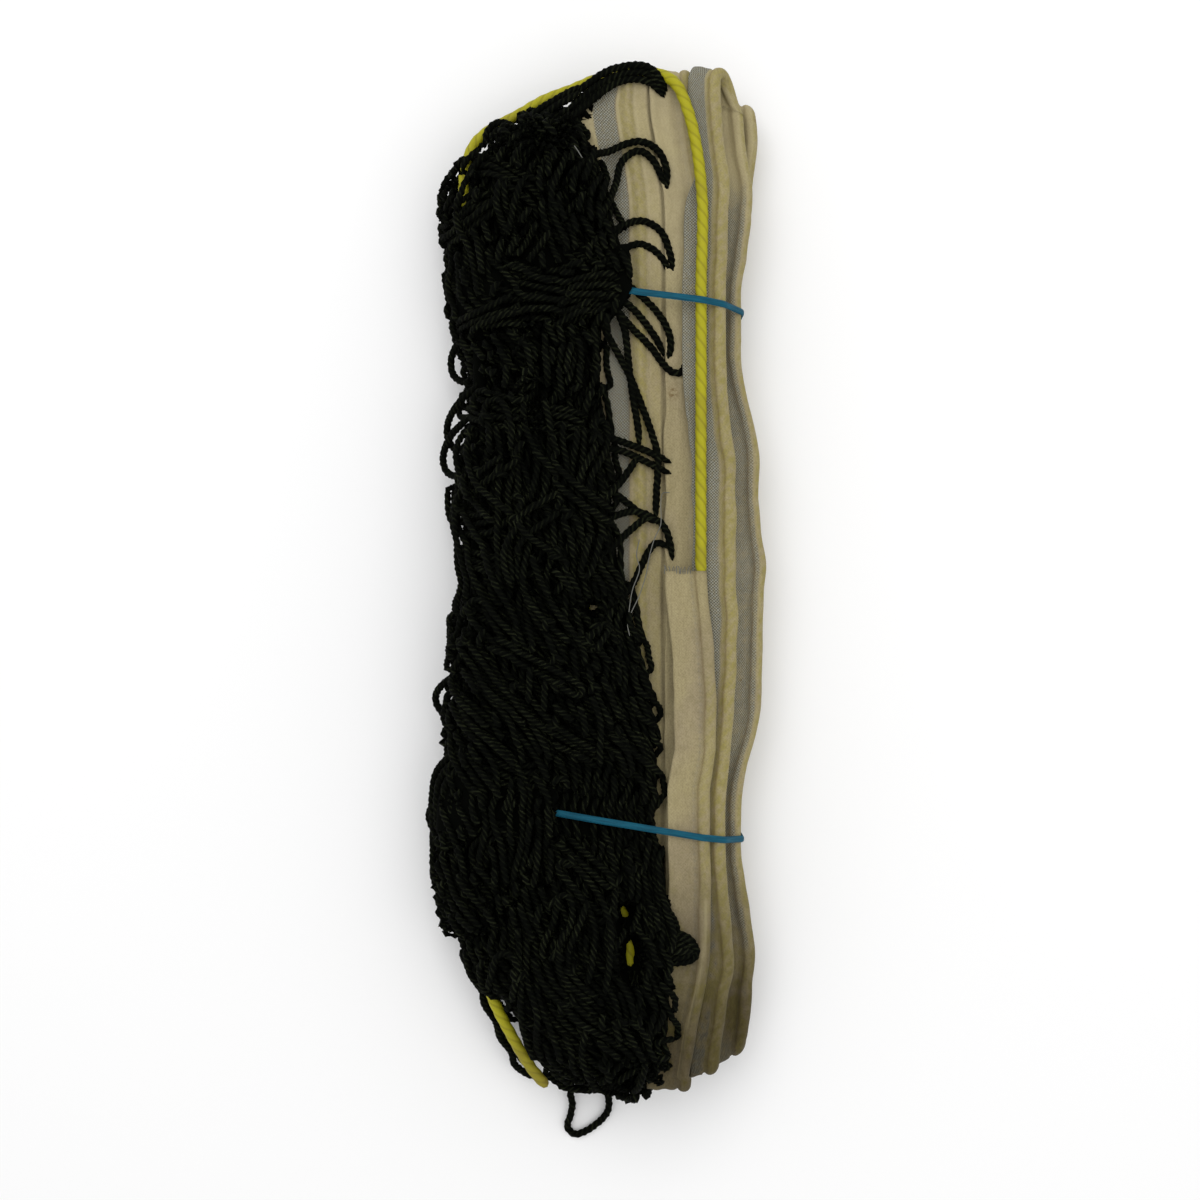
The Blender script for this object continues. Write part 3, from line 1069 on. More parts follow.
class Pile:
    """The folded netting's inner surface as a grid, v along the bundle and over its ends, t from the floor
    up the left side and across the top, with the height to which cords lie on it so far."""

    # Points of the grid across the pile, and the spacing of a cord's points in millimetres.
    across, step = 280, 1.3

    def __init__(self):
        self.shape_surface()
        self.find_normals()
        self.height = np.zeros(self.place.shape[:2])
        evened = np.convolve(np.pad(self.length, 6, mode="edge"), np.ones(13) / 13, mode="valid")
        self.widening = np.gradient(evened)
        px, py = self.place[..., 0], self.place[..., 1]
        weights, total = np.zeros(px.shape), np.zeros(px.shape)
        for fx, fy, slope in FLOW:
            w = np.exp(-((px - fx) ** 2 / FLOW_REACH + (py - fy) ** 2 / FLOW_REACH)) + 1e-9
            weights, total = weights + w, total + w * slope
        self.flow = total / weights
        steep = (self.normal[..., 0] > 0.45) | (self.normal[..., 1] > 0.6)
        self.room = np.where(steep & (self.place[..., 2] > FLOOR_BAND), STEEP_ROOM, OPEN_ROOM)
        self.ceiling = self.room.copy()
        self.make_room(px, py)

    def shape_surface(self):
        """The surface's points. Each section is four curves: up the left side, over its shoulder, across
        the top and down the rounded right edge. The round ones are quarters of superellipses, |x|^2.4 +
        |z|^2.4 = 1. The section shrinks round the ends by their profile's share k."""
        self.v, y, k = self.end_profile()
        low_end = ease((-118 - y) / 30)
        left = np.interp(y, *np.transpose(NET_LEFT)) + LEFT_ROOM
        right = np.interp(y, *np.transpose(NET_RIGHT)) - RIGHT_ROOM + 1.8 * low_end
        middle = (left + right) / 2
        narrow = END_WIDTH + MORE_WIDTH * k
        left, right = middle + (left - middle) * narrow, middle + (right - middle) * narrow
        up = lift(-30.0, y)
        lower_half = ease((-20 - y) / 40)
        top = (PILE_TOP - WAIST_DROP * squeeze(-30.0, y) + lower_half * 1.5) * k + up
        side = (PILE_SIDE + 8.0 * low_end + up) * k
        roll = (30 - 14 * lower_half - 4 * low_end) * (0.4 + 0.6 * k)
        shoulder = 25 * (0.5 + 0.5 * k)
        widest = 17.0 * k + up
        q = np.linspace(0, 1, 60)
        low_a, high_a = np.radians(-82 * (1 - q)), np.radians(90 * q)
        bend = lambda f: np.sign(f) * abs(f) ** EDGE_POWER
        col = lambda a: a[:, None]
        x1 = col(left + 9 * k) - col(9 * k) * bend(np.cos(low_a))
        z1 = col(widest) + col(widest - 1.5 - up * 0.8) * bend(np.sin(low_a))
        x2 = col(left + shoulder) - col(shoulder) * bend(np.cos(high_a))
        z2 = col(widest) + col(top - widest) * bend(np.sin(high_a))
        x3 = col(left + shoulder) + col(right - roll - left - shoulder) * q
        z3 = col(top) + 1.8 * col(k) * np.sin(math.pi * q)
        x4 = col(right - roll) + col(roll) * bend(np.sin(high_a))
        z4 = col(side) + col(top - side) * bend(np.cos(high_a))
        x = np.hstack([x1, x2[:, 1:], x3[:, 1:], x4[:, 1:]])
        z = np.hstack([z1, z2[:, 1:], z3[:, 1:], z4[:, 1:]])
        s = np.hstack([np.zeros((len(y), 1)), np.cumsum(np.hypot(np.diff(x), np.diff(z)), 1)])
        self.length = s[:, -1]
        at = np.linspace(0, 1, self.across)
        even_out = lambda part: [np.interp(at * whole, row, values)
                                 for whole, row, values in zip(self.length, s, part)]
        self.place = np.stack([even_out(x), np.repeat(y[:, None], self.across, 1), even_out(z)], -1)

    def find_normals(self):
        """The surface's outward normals, from its grid's two gradients, smoothed over a few cells."""
        dv, dt = np.gradient(self.place, axis=0), np.gradient(self.place, axis=1)
        self.normal = unit(np.cross(dt, dv))
        if self.normal[len(self.v) // 2, self.across * 2 // 3, 2] < 0:
            self.normal = -self.normal
        for _ in range(3):
            self.normal[1:-1] = (self.normal[:-2] + 2 * self.normal[1:-1] + self.normal[2:]) / 4
            self.normal[:, 1:-1] = (self.normal[:, :-2] + 2 * self.normal[:, 1:-1] + self.normal[:, 2:]) / 4
        self.normal = unit(self.normal)

    def make_room(self, px, py):
        """Lowers the ceiling under which cords lie: under the bands, in the holes and round the rope that
        shows. Where the netting covers a band, cover is how high the band stands off the surface."""
        self.cover = np.zeros(px.shape)
        self.clear = np.zeros(px.shape, bool)
        for corners, band_y, covered, (off, slope) in zip(BAND_CORNERS, BAND_Y, BAND_COVERED, BAND_OFF):
            zone = abs(py + (BAND_SLANT + slope) * px - band_y - off) < WAIST_FLAT
            rows = zone.any(axis=1)
            args = (px[rows], self.place[rows][..., 2], self.normal[rows][..., 0], self.normal[rows][..., 2])
            inner = reach_out(corners, BAND_GAP - 0.25, *args)
            outer = reach_out(corners, BAND_GAP + BAND_T + 0.3, *args)
            under = np.minimum(inner, self.room[rows])
            over = zone[rows] & (px[rows] < covered) & (outer < 14)
            self.ceiling[rows] = np.where(zone[rows], under, self.ceiling[rows])
            self.cover[rows] = np.where(over, outer, self.cover[rows])
            self.clear |= zone & (px > covered + 1)
        for x, y, across, along, depth in NET_HOLES:
            far = ((px - x) / across) ** 2 + ((py - y) / along) ** 2
            top = self.place[..., 2] > 30
            self.place[..., 2] -= np.where(top, depth * np.exp(-far * far), 0)
            self.ceiling = np.where(top & (far < 0.75), SHUT, self.ceiling)
        shows = [curve_through(line, 2.0) for line in ROPE_SHOWS]
        for line, room in zip(shows, ROPE_ROOM):
            for x, y in line[:, :2]:
                near = ((px - x) ** 2 + (py - y) ** 2 < room ** 2) & (self.place[..., 2] > ROPE_FLOOR)
                self.ceiling = np.where(near, SHUT, self.ceiling)
        self.clear |= self.ceiling < SHUT + 1
        self.ropes = np.vstack(shows)[:, :2]
        self.apart = np.repeat(ROPE_APART, [len(line) for line in shows])

    def cover_zone(self):
        """Where the netting covers a band, above the floor."""
        return (self.cover > 0.5) & (self.place[..., 2] > FLOOR_BAND)

    @staticmethod
    def end_profile():
        """v in steps of 1 mm, y and the height's share k: flat between the ends, and round them a
        superellipse, which stops short of the floor."""
        b = np.linspace(0, math.pi / 2, 200)
        run, high, cord_room = 20.0, 46.0, 5.5
        y = run * np.sin(b) ** END_POWER
        k = np.clip(np.cos(b), 0, 1) ** END_POWER
        s = np.concatenate([[0], np.cumsum(np.hypot(np.diff(y), high * np.diff(k)))])
        n = int(s[-1] * 0.86)
        ye, ke = np.interp(np.arange(1, n + 1), s, y), np.interp(np.arange(1, n + 1), s, k)
        low, top = NET_ENDS[0] + cord_room + run, NET_ENDS[1] - cord_room - run
        mid = np.linspace(low, top, int(top - low) + 1)
        return (np.concatenate([low - np.arange(n, 0, -1), mid, top + np.arange(1, n + 1)]),
                np.concatenate([low - ye[::-1], mid, top + ye]),
                np.concatenate([ke[::-1], np.ones(len(mid)), ke]))

    def read(self, grid, i, j):
        """The grid's value between its points, from the four round it."""
        i, j = np.clip(i, 0, grid.shape[0] - 1.001), np.clip(j, 0, grid.shape[1] - 1.001)
        a, b = i.astype(int), j.astype(int)
        f, g = i - a, j - b
        if grid.ndim == 3:
            f, g = f[..., None], g[..., None]
        return (grid[a, b] * (1 - f) * (1 - g) + grid[a + 1, b] * f * (1 - g) + grid[a, b + 1] * (1 - f) * g
                + grid[a + 1, b + 1] * f * g)

    def cell(self, path):
        """Grid places of a path whose first number is millimetres along t and whose second is v."""
        i = path[:, 1] - self.v[0]
        scale = np.interp(i, np.arange(len(self.length)), self.length)
        return i, path[:, 0] / scale * (self.across - 1), scale / (self.across - 1)

    def from_above(self, route):
        """A route given as x, y from above, as a path on the surface."""
        route = np.asarray(route, float)
        low, top = self.place[0, 0, 1], self.place[-1, 0, 1]
        ys = self.place[:, 0, 1]
        i = np.interp(np.clip(route[:, 1], low, top), ys, np.arange(len(ys)))
        path = []
        for (x, _), row in zip(route, i.round().astype(int)):
            xs = self.place[row, :, 0]
            first = int(np.argmin(xs[:self.across // 2]))
            share = np.interp(x, xs[first:], np.arange(first, self.across)) / (self.across - 1)
            path.append([share * self.length[row], self.v[row]])
        return np.array(path)

    def footprint(self, path, r):
        """The grid cells that a cord of radius r covers along a path, and how far it rounds over them."""
        i, j, cell = self.cell(path)
        di, dj = np.arange(-2, 3), np.arange(-4, 5)
        ii = np.clip(i.round().astype(int)[:, None, None] + di[None, :, None], 0, self.height.shape[0] - 1)
        jj = np.clip(j.round().astype(int)[:, None, None] + dj[None, None, :], 0, self.across - 1)
        ii, jj = np.broadcast_arrays(ii, jj)
        d2 = (ii - i[:, None, None]) ** 2 + ((jj - j[:, None, None]) * cell[:, None, None]) ** 2
        return ii, jj, d2 < r * r, np.sqrt(np.clip(r * r - d2, 0, None))

    def need(self, path, r):
        """How high a cord has to lie along a path to clear what lies there."""
        ii, jj, inside, dome = self.footprint(path, r)
        return np.maximum(np.where(inside, self.height[ii, jj] + 0.85 * dome, -9).max(axis=(1, 2)), r)

    def settle(self, path, r):
        """Lets a path slide sideways into the grooves between the cords that lie there."""
        soft = np.hanning(13)[1:-1]
        soft /= soft.sum()
        for _ in range(5):
            side = beside(path)
            tilt = self.need(path + side * 1.1, r) - self.need(path - side * 1.1, r)
            slide = np.convolve(np.pad(np.clip(-tilt, -1.6, 1.6), 5, mode="edge"), soft, mode="valid") * 0.55
            path = path + side * slide[:, None]
        return even(path, self.step)

    def soften(self, row):
        """A row of numbers smoothed along the cord by a bell as long as the cord is stiff."""
        bell = np.hanning(2 * STIFF + 3)[1:-1]
        return np.convolve(np.pad(row, STIFF, mode="edge"), bell / bell.sum(), mode="valid")

    def lay(self, path, r, limit, shortest=16.0, slide=True, dive=6.5):
        """Lays a cord of radius r along a path. It rests on what lies there and bends only so tightly.
        Wherever it would rise past the limit it dives under its neighbours instead, so that one path can
        give several stretches, each as its line in space and its normals. Then it counts as lying there."""
        path = even(path, self.step)
        if slide:
            path = self.settle(path, r)
        need = self.need(path, r)
        pad = np.pad(need, STIFF, mode="edge")
        high = np.max([pad[k:k + len(need)] for k in range(2 * STIFF + 1)], axis=0)
        h = 0.6 * self.soften(high) + 0.4 * self.soften(need) - 0.15
        i, j, _ = self.cell(path)
        low = h + r <= np.minimum(limit, self.read(self.ceiling, i, j))
        spot = self.read(self.place, i, j) + self.read(self.normal, i, j) * h[:, None]
        away = np.hypot(*(spot[:, None, :2] - self.ropes[None]).transpose(2, 0, 1)) - self.apart
        low &= (away.min(axis=1) > 0) | (spot[:, 2] < ROPE_BELOW)
        edges = np.flatnonzero(np.diff(np.concatenate([[0], low.astype(int), [0]])))
        made = []
        for a, b in zip(edges[::2], edges[1::2]):
            if (b - a) * self.step < shortest:
                continue
            a, b = max(0, a - 3), min(len(path), b + 3)
            part, lie = path[a:b], h[a:b]
            s = np.arange(b - a) * self.step
            top = self.read(self.ceiling, i[a:b], j[a:b]) - r
            lie = np.minimum(lie, np.maximum(top, -DIVE_DEPTH))
            for far in (s, s[-1] - s):
                lie = lie - (lie + DIVE_DEPTH) * (1 - ease(far / dive))
            ii, jj, inside, dome = self.footprint(part, r)
            np.maximum.at(self.height, (ii[inside], jj[inside]), (lie[:, None, None] + dome)[inside])
            n = unit(self.read(self.normal, i[a:b], j[a:b]))
            line = self.read(self.place, i[a:b], j[a:b]) + n * lie[:, None]
            line[:, 2] = np.maximum(line[:, 2], r)
            made.append((line, n))
        return made

    def drape(self, path, r):
        """Lays a cord over everything along a path, the bands' room included."""
        kept, self.ceiling = self.ceiling, np.where(self.clear, self.ceiling, self.room)
        bare, self.height = self.height, np.maximum(self.height, self.cover)
        made = self.lay(path, r, DRAPE_LIMIT, DRAPE_SHORTEST, False)
        self.ceiling = kept
        self.height = np.where(self.height > np.maximum(bare, self.cover), self.height, bare)
        return made

    def follow(self, seed, start, reach, wander, turn=0.0):
        """A path through a start that follows the flow both ways, with its own slow wander. Near the right
        edge it turns to run along it."""
        own = waves(seed, 3, 35, 150)
        halves = []
        for way, far in ((-1, reach[0]), (1, reach[1])):
            t, v = start
            steps = [[t, v]]
            for _ in range(int(far)):
                i = int(np.clip(v - self.v[0], 0, len(self.v) - 1))
                wide = self.length[i]
                if not 1.0 < t < wide - 0.8 or not self.v[0] + 1 < v < self.v[-1] - 1:
                    break
                slope = self.flow[i, int(t / wide * (self.across - 1))]
                slope = slope + wander * own(v + 7 * start[0]) + turn
                edge = ease((t - wide + 9) / 7)
                slope = slope * (1 - edge) + (self.widening[i] - 0.25 * way * edge) * edge
                flat = 1.5 / math.hypot(1, slope)
                v += way * flat
                t += way * flat * slope
                steps.append([t, v])
            halves.append(steps)
        return np.array(halves[0][::-1] + halves[1][1:])


def bight(line, wide):
    """A line doubled back on itself: two runs that lie `wide` apart and meet in a round end, an ellipse."""
    side = beside(line)
    left = np.arange(len(line))[::-1] * 1.5
    half = wide / 2 * np.sqrt(np.clip(1 - (1 - left / (0.8 * wide)).clip(0, 1) ** 2, 0.0, 1))[:, None]
    return np.vstack([line + side * half, (line - side * half)[::-1]])


def knot(at, across, up, r, rng):
    """A sheet bend seen from outside: two tilted turns of the twine round a crossing."""
    third = np.cross(across, up)
    a = np.linspace(0, 2 * math.pi, 15)
    made = []
    for tilt, shift, big in ((0.55, -0.42, 1.28), (-0.6, 0.45, 1.2)):
        axis = third * math.cos(tilt) + across * math.sin(tilt)
        other = np.cross(up, axis)
        turn = np.cos(a)[:, None] * other * big + np.sin(a)[:, None] * up * big
        ring = at + third * shift * r * 1.6 + turn * r
        facing = np.broadcast_to(axis, ring.shape)
        made.append(tube(ring, facing, r * 0.86, 3, 0.26, 2, r * 6, rng.uniform(0, 6), 0.95))
    return made


# Single cords over the canvas, by the CAD's piece that each group stands for.
FREE_CORDS = {
    "top_cord": [
        [[-18, 250, 48], [-12, 255.5, 45], [-6, 259.8, 44.8], [0.8, 264.4, 45.2], [7.3, 267.2, 45.6],
         [16.8, 268.9, 45.5], [23.4, 268.3, 45.2], [27.9, 265.5, 44.6], [31.5, 260.8, 43.4],
         [33.6, 257.3, 41.5]],
        [[-16, 246, 48], [-10, 252.2, 45], [-4, 257, 44.4], [1.8, 261, 44.3], [8.8, 264.2, 44.2],
         [16.9, 265.7, 44.4], [22.8, 265.4, 44.3], [26.9, 263, 43.9], [30.2, 259.4, 43],
         [32.8, 255.6, 41.5]],
        [[-15, 244, 46], [-8.5, 250.6, 44], [-2.5, 255.6, 43.4], [3, 259.8, 43.2], [9.6, 262.9, 43.2]],
        [[-14, 242, 48], [-7, 249, 45], [-1, 254, 44.2], [4, 258, 43.8], [10, 261.2, 43.6],
         [16.9, 262.5, 43.6], [22.3, 261.8, 43.4], [26.4, 260.2, 43], [29.8, 257, 42.2],
         [32.2, 254.4, 41.2]]],
    "hook_1": [
        [[-15, 211, 60], [-8.7, 216.4, 57], [-2.7, 222.2, 52], [4.3, 225.3, 46], [12.3, 229.4, 44],
         [20.4, 231, 43.6], [27.5, 228.1, 43.3], [31.5, 223.1, 43], [33.6, 216.7, 42.4],
         [33.6, 207.1, 40.5]],
        [[0, 184, 58], [1.7, 192.6, 57], [5.2, 200.8, 52], [8.3, 210.3, 46], [9.8, 218.3, 44.2],
         [13.9, 223.9, 43.8], [19.9, 226.3, 43.4], [25.5, 223.1, 43], [29.5, 217.2, 42.4],
         [32.6, 209.6, 40.5]]],
    "hook_2": [
        [[-6, 174, 58], [-0.2, 179.9, 56], [5.7, 183.8, 52], [11.8, 188.1, 46], [18.4, 190.9, 44],
         [25.4, 189.7, 43.6], [31.5, 184.7, 43.4], [34.5, 177.2, 43.1], [36.1, 170.8, 42.4],
         [36.7, 162.1, 40.5]],
        [[-4, 162, 58], [1.7, 168, 56], [7.2, 172.5, 51], [13.3, 177.2, 45.6], [19.9, 179.3, 43.9],
         [26, 177.1, 43.5], [30.5, 173.2, 43.1], [33.6, 168.8, 42.2], [36.2, 162.6, 40.5]]],
    "hook_3": [
        [[3, 165.5, 54], [9.7, 160.9, 52], [15.3, 156.3, 50.6], [20.9, 152.1, 48.5], [26.9, 146.6, 46.5],
         [32, 140.2, 44.6], [35, 133.2, 44], [35.5, 126.3, 43.2], [33.1, 119.5, 41]],
        [[4, 150, 53], [10.7, 141.9, 52], [16.8, 135.7, 47], [21.9, 131, 45.4], [26.9, 125.6, 44.6],
         [32, 118.6, 44], [37, 114.6, 43.6], [41.6, 115.5, 43], [43.2, 122.1, 41]],
        [[1, 156, 54], [7.7, 151.7, 53], [14.3, 147.6, 50], [20.4, 142, 46.6], [25.9, 135.1, 44.5],
         [30, 128.7, 43.5], [32.1, 123.5, 41.5]],
        [[-3, 146, 55], [0.7, 138.7, 53], [4.2, 131.8, 50], [9.8, 122.2, 46.6], [15.3, 111.9, 45],
         [20.4, 99.4, 44.5], [25.4, 85.8, 44.2], [29, 73.3, 44], [29, 63.2, 44], [28.5, 55.1, 44],
         [28, 41.1, 43.8]],
        [[5, 151, 53], [8.7, 143.9, 52], [12.3, 135.4, 49], [13.8, 124.8, 46.6], [14.8, 114.8, 45.8],
         [16.8, 100.3, 45.4], [18.9, 88.3, 45], [19.9, 77.8, 44.4]]],
    "open_meshes": [
        [[-13, 84, 57], [-7.2, 83.6, 56], [-0.7, 82.5, 53], [10.8, 79.5, 47], [21.4, 75.8, 44.4],
         [29.5, 72.3, 43.6], [35.6, 69.5, 41]],
        [[-11, 76, 56], [-5.2, 76.9, 54], [2.8, 76.3, 49], [11.8, 74.6, 46], [21.9, 70.2, 44.4],
         [30, 66.3, 43.4], [35.6, 63.9, 41]],
        [[19.9, 73.2, 44.4], [16.9, 68.7, 45], [13.8, 64.1, 45.6], [9.8, 58.5, 47], [4.7, 53.2, 51],
         [1, 49, 54]],
        [[-10.2, 75.6, 57], [-6.2, 70.3, 55], [-1.2, 63.1, 51.5], [3.8, 56.4, 48], [12.3, 50, 45.4],
         [20.9, 43, 44.6], [25.9, 40.5, 44.8], [29.9, 39.5, 44.4], [33.5, 34.5, 44], [35.5, 27.5, 43.4],
         [36.6, 20.5, 41.5]],
        [[0, 22, 53], [5.7, 26.2, 51], [12.3, 32.4, 47], [16.8, 36.5, 45.4], [21.4, 40, 45],
         [25.9, 41.5, 45.4]],
        [[36.1, 26, 41.5], [32, 28, 43.2], [27.9, 28.5, 44], [24.4, 24.4, 44.2], [20.9, 17.4, 44.6],
         [16.8, 8.8, 46], [11.7, 2.2, 50.5], [7, -2, 54]],
        [[-2, 37, 54], [3.7, 40.2, 52], [10.8, 43.4, 46.5], [17.9, 44.5, 45.2], [24.9, 42.5, 45.4],
         [27.9, 40, 45.2]]],
    "foot_loop": [
        [[-14, -251.7, 6], [-15.5, -260.1, 5], [-14.5, -265.6, 4.2], [-15.6, -272.3, 3],
         [-17.2, -278.4, 2.2], [-13, -282.3, 2.2], [-6.1, -279.9, 2.2], [1.3, -274, 2.6],
         [4.5, -268.5, 3.4], [4.5, -262.4, 4.4], [3, -252, 8]]]}
# More cords that stand off the pile: at its left edge, down its lower left side, and over the front lap.
LOOSE_CORDS = [
    [[-60, 138, 40], [-68, 135, 34], [-74.4, 130, 25], [-77.2, 123, 20], [-75.6, 116, 20], [-70, 112, 26],
     [-60, 110, 36]],
    [[-62, 108, 43], [-71, 101, 36], [-77.5, 93, 26], [-79, 85, 20], [-75, 78, 26], [-65, 75, 39]],
    [[-66, 92, 43], [-76, 84, 32], [-81, 74, 22], [-79, 66, 20], [-70, 62, 34]],
    [[-64, -36, 43], [-76, -40, 36], [-83.5, -47, 28], [-84, -54, 24], [-78, -60, 30], [-68, -62, 40]],
    [[-64, -94, 42], [-76, -98, 36], [-86, -106, 28], [-88, -114, 22], [-82, -122, 28], [-72, -124, 40]],
    [[-68, -74, 45], [-77, -80, 41], [-83.4, -88, 34], [-85.6, -98, 31], [-86, -109, 30], [-84, -120, 32],
     [-76, -128, 42]],
    [[-66, -78, 46], [-75, -83, 43], [-80.6, -90, 39.6], [-82.6, -98, 38.4], [-82.6, -108, 38.2],
     [-80, -119, 40], [-73, -126, 45]],
    [[-64, -82, 47], [-72, -86, 45], [-77.4, -92, 43.2], [-79, -100, 42.6], [-78.6, -110, 42.6],
     [-76, -119, 44], [-70, -124, 47]],
    [[-10, 258, 47], [-17, 254.4, 46], [-24, 250.6, 45.4], [-31, 246.2, 45.6], [-37, 240.6, 46.6],
     [-40, 233, 48]],
    [[-10, 254.4, 48], [-17, 250.6, 47.4], [-24, 246.6, 47], [-30, 241.6, 47.4], [-34, 235, 48.6]],
    [[-36, 231, 51], [-42, 236, 48], [-47.5, 239.6, 45.6], [-53, 239.6, 44.6], [-57, 235, 44],
     [-58, 228, 44]],
    [[-36, 227, 52], [-42, 232, 49], [-47.5, 235.6, 47], [-52, 235.4, 46], [-54.6, 231, 45.6],
     [-55, 224, 45]],
    [[-38, 223, 52], [-43, 227.6, 50], [-47.5, 231.4, 48.4], [-50.6, 230.6, 47.6], [-51.6, 226, 47],
     [-52, 219, 46]],
    [[-60, 222, 40], [-70, 216, 36], [-77, 205, 28], [-80.5, 197, 20], [-78, 188, 24], [-70, 184, 36]],
    [[-61, -200, 32], [-58.6, -208, 30], [-53.5, -216.5, 27], [-51.5, -226, 22], [-46, -235, 17],
     [-44.6, -243, 11], [-38, -249.5, 6], [-31, -252, 4]],
    [[-66, -186, 32], [-63.5, -196, 28], [-59, -204, 24], [-56.6, -214, 19], [-50, -223, 15],
     [-48.6, -232, 10], [-42, -240, 8], [-37, -247, 5]],
    [[22, -167, 53], [30.8, -168, 52.4], [38.7, -168.6, 52.8], [44.7, -170.6, 52.6], [48.4, -174.8, 51.6],
     [46, -179.4, 51.4], [39, -181, 51.6], [30, -180.6, 51.4], [22, -181, 52]],
    [[24, -170.6, 53.4], [31, -171.2, 53], [38.7, -171.6, 53.6], [43.4, -173.4, 53.6], [45, -175.4, 53],
     [43, -177.4, 53], [38, -178, 53.2], [30, -177.6, 52.8], [24, -178, 53]],
    [[22, -174, 55], [31, -174.4, 54.6], [38.7, -174.6, 55.4], [44, -174.8, 54], [48.6, -176, 51]],
    [[24, -168.6, 52], [32, -166.6, 51.6], [39.6, -166.8, 51.6], [45, -169.4, 51.6], [46.4, -173, 51.2],
     [42, -178, 51], [34, -183, 51]]]
# White sewing thread.
THREADS = [
    [[35.1, 54.2, 42.6], [31.5, 53.7, 43.2], [30.5, 48.1, 46.4], [30.5, 38, 46.8], [27.4, 30.9, 46.6],
     [24.9, 22.4, 46.6], [23.4, 13.8, 46.6], [20.8, 5.3, 48], [18.8, 0.3, 50], [15.8, -5.8, 52.5],
     [13.7, -11.7, 55], [14.7, -17.7, 56]],
    [[19.8, 30.4, 46], [18.3, 22.4, 47], [19.8, 15.3, 47.6], [16.3, 5.3, 49.6], [14.8, -2.8, 52],
     [13.7, -13.7, 55.5]],
    [[-12.6, 222.8, 66], [-10.6, 219.8, 66.5], [-8.7, 216.8, 66]]]
# Groups of cords that lie across the others: how many side by side, and their middle as x, y from above.
CROSS_CORDS = (
    (5, [[-57, 190], [-60, 176], [-60, 160], [-54, 148], [-40, 144], [-20, 147], [0, 151], [18, 152]]),
    (3, [[-48, 186], [-46, 170], [-38, 158], [-22, 154], [-4, 156], [12, 158]]),
    (3, [[-26, 196], [-18, 180], [-4, 168], [8, 160], [17, 154]]),
    (2, [[-6, 190], [0, 176], [6, 164], [6, 150], [0, 138]]),
    (2, [[-52, 168], [-40, 166], [-26, 160], [-14, 163], [-2, 170]]),
    (2, [[8, 178], [13, 170], [16, 162], [17, 154]]),
    (3, [[-66, 132], [-60, 138], [-50, 142.5], [-30, 149], [-8, 154], [15, 156]]),
    (2, [[-44, 160], [-30, 159], [-12, 161], [4, 162], [17, 159]]),
    (3, [[-30, 138], [-16, 143], [-2, 148], [8, 151], [17, 150]]),
    (2, [[12, 173], [13, 166], [14, 158], [14, 150], [12, 142]]),
    (2, [[3, 176], [5, 166], [8, 156], [8, 146], [5, 134]]),
    (2, [[-40, 201], [-60, 193], [-71, 187], [-77, 192], [-74, 199], [-65, 198], [-50, 206]]),
    (2, [[-30, 208], [-48, 200], [-62, 187], [-73, 181], [-78, 186]]),
    (3, [[-62, 214], [-52, 215], [-40, 208], [-28, 196], [-24, 182]]),
    (2, [[-20, 236], [-12, 226], [-8, 212], [-10, 198], [-16, 186]]),
    (4, [[-68, 106.7], [-57.7, 97.3], [-43.8, 91.5], [-28, 89.6], [-14.6, 87.5], [-2, 83.4]]),
    (3, [[-73, 69], [-67, 48], [-60, 37.6], [-51, 39], [-43, 47.5]]),
    (3, [[-72, 30], [-63, 22.5], [-47, 16], [-36, 17], [-25, 22]]),
    (2, [[-71, 8], [-62, -2], [-50, -10], [-40, -12]]),
    (3, [[-43.5, 94], [-43, 70], [-43.5, 46], [-43, 20], [-42, -2]]),
    (3, [[-15, 92], [-13.5, 70], [-14, 45], [-17, 18], [-19, -8]]),
    (2, [[-30, 130], [-29, 112], [-31, 92], [-30, 66], [-31, 44]]),
    (2, [[-75, -59], [-65, -75], [-55, -86.7], [-44, -90.7], [-32.6, -89.7], [-25, -84]]),
    (2, [[-72, -46], [-60, -64], [-50, -77], [-40, -83], [-30, -82], [-22, -74]]),
    (2, [[-26, -36], [-24.5, -60], [-24.5, -84], [-26, -104]]),
    (3, [[-60, -139], [-60, -126.5], [-55, -117], [-47.5, -115.6], [-43, -124], [-43.5, -141]]),
    (2, [[-78, -118], [-70, -128], [-66, -142], [-64, -158], [-58, -172]]),
    (2, [[-3, -150], [3, -143], [8, -148], [6, -156], [-2, -158], [-9, -150], [-8, -138], [0, -132]]),
    (3, [[-40, -150], [-36, -170], [-34, -192], [-28, -214], [-20, -232]]),
    (2, [[28, -196], [26, -212], [18, -225], [6, -234], [-8, -238]]))


# The netting's layers: the height that each fills up to, the height that its cords may reach, the most
# cords that it may have, and how much they wander.
LAYERS = ((2.6, 5.0, 260, 0.35), (4.9, 7.4, 300, 0.6), (7.2, 9.6, 330, 0.85))
# The most short cords over the covered bands, the doubled cords on top, and the most turns of twine in
# knots.
COVER_CORDS, HAIRPINS, KNOT_TURNS = 330, 76, 90


def side_by_side(route, count, gap, rng):
    """Routes beside each other, about `gap` apart with their own wander and ends, about a middle one."""
    path = curve_through(route, 2.0)
    s, side = np.arange(len(path)) * 2.0, beside(path)
    wander = lambda: 1.7 * waves(int(rng.integers(9999)), 3, 18, 60)(s)
    drift = [gap * (k - (count - 1) / 2) + wander() for k in range(count)]
    return [(path + side * d[:, None])[rng.integers(0, 4):len(path) - rng.integers(0, 4)] for d in drift]


def cord_pieces(name, cords, per_piece):
    """Laid cords as pieces of at most so many cords each."""
    made = []
    twine = finish_of("black_twine")
    for first in range(0, len(cords), per_piece):
        points, faces, uv = join(cords[first:first + per_piece])
        own = f"{name}_{first // per_piece + 1}"
        made.append(add_piece(own, points, faces, twine, "bundle", uv))
    return made


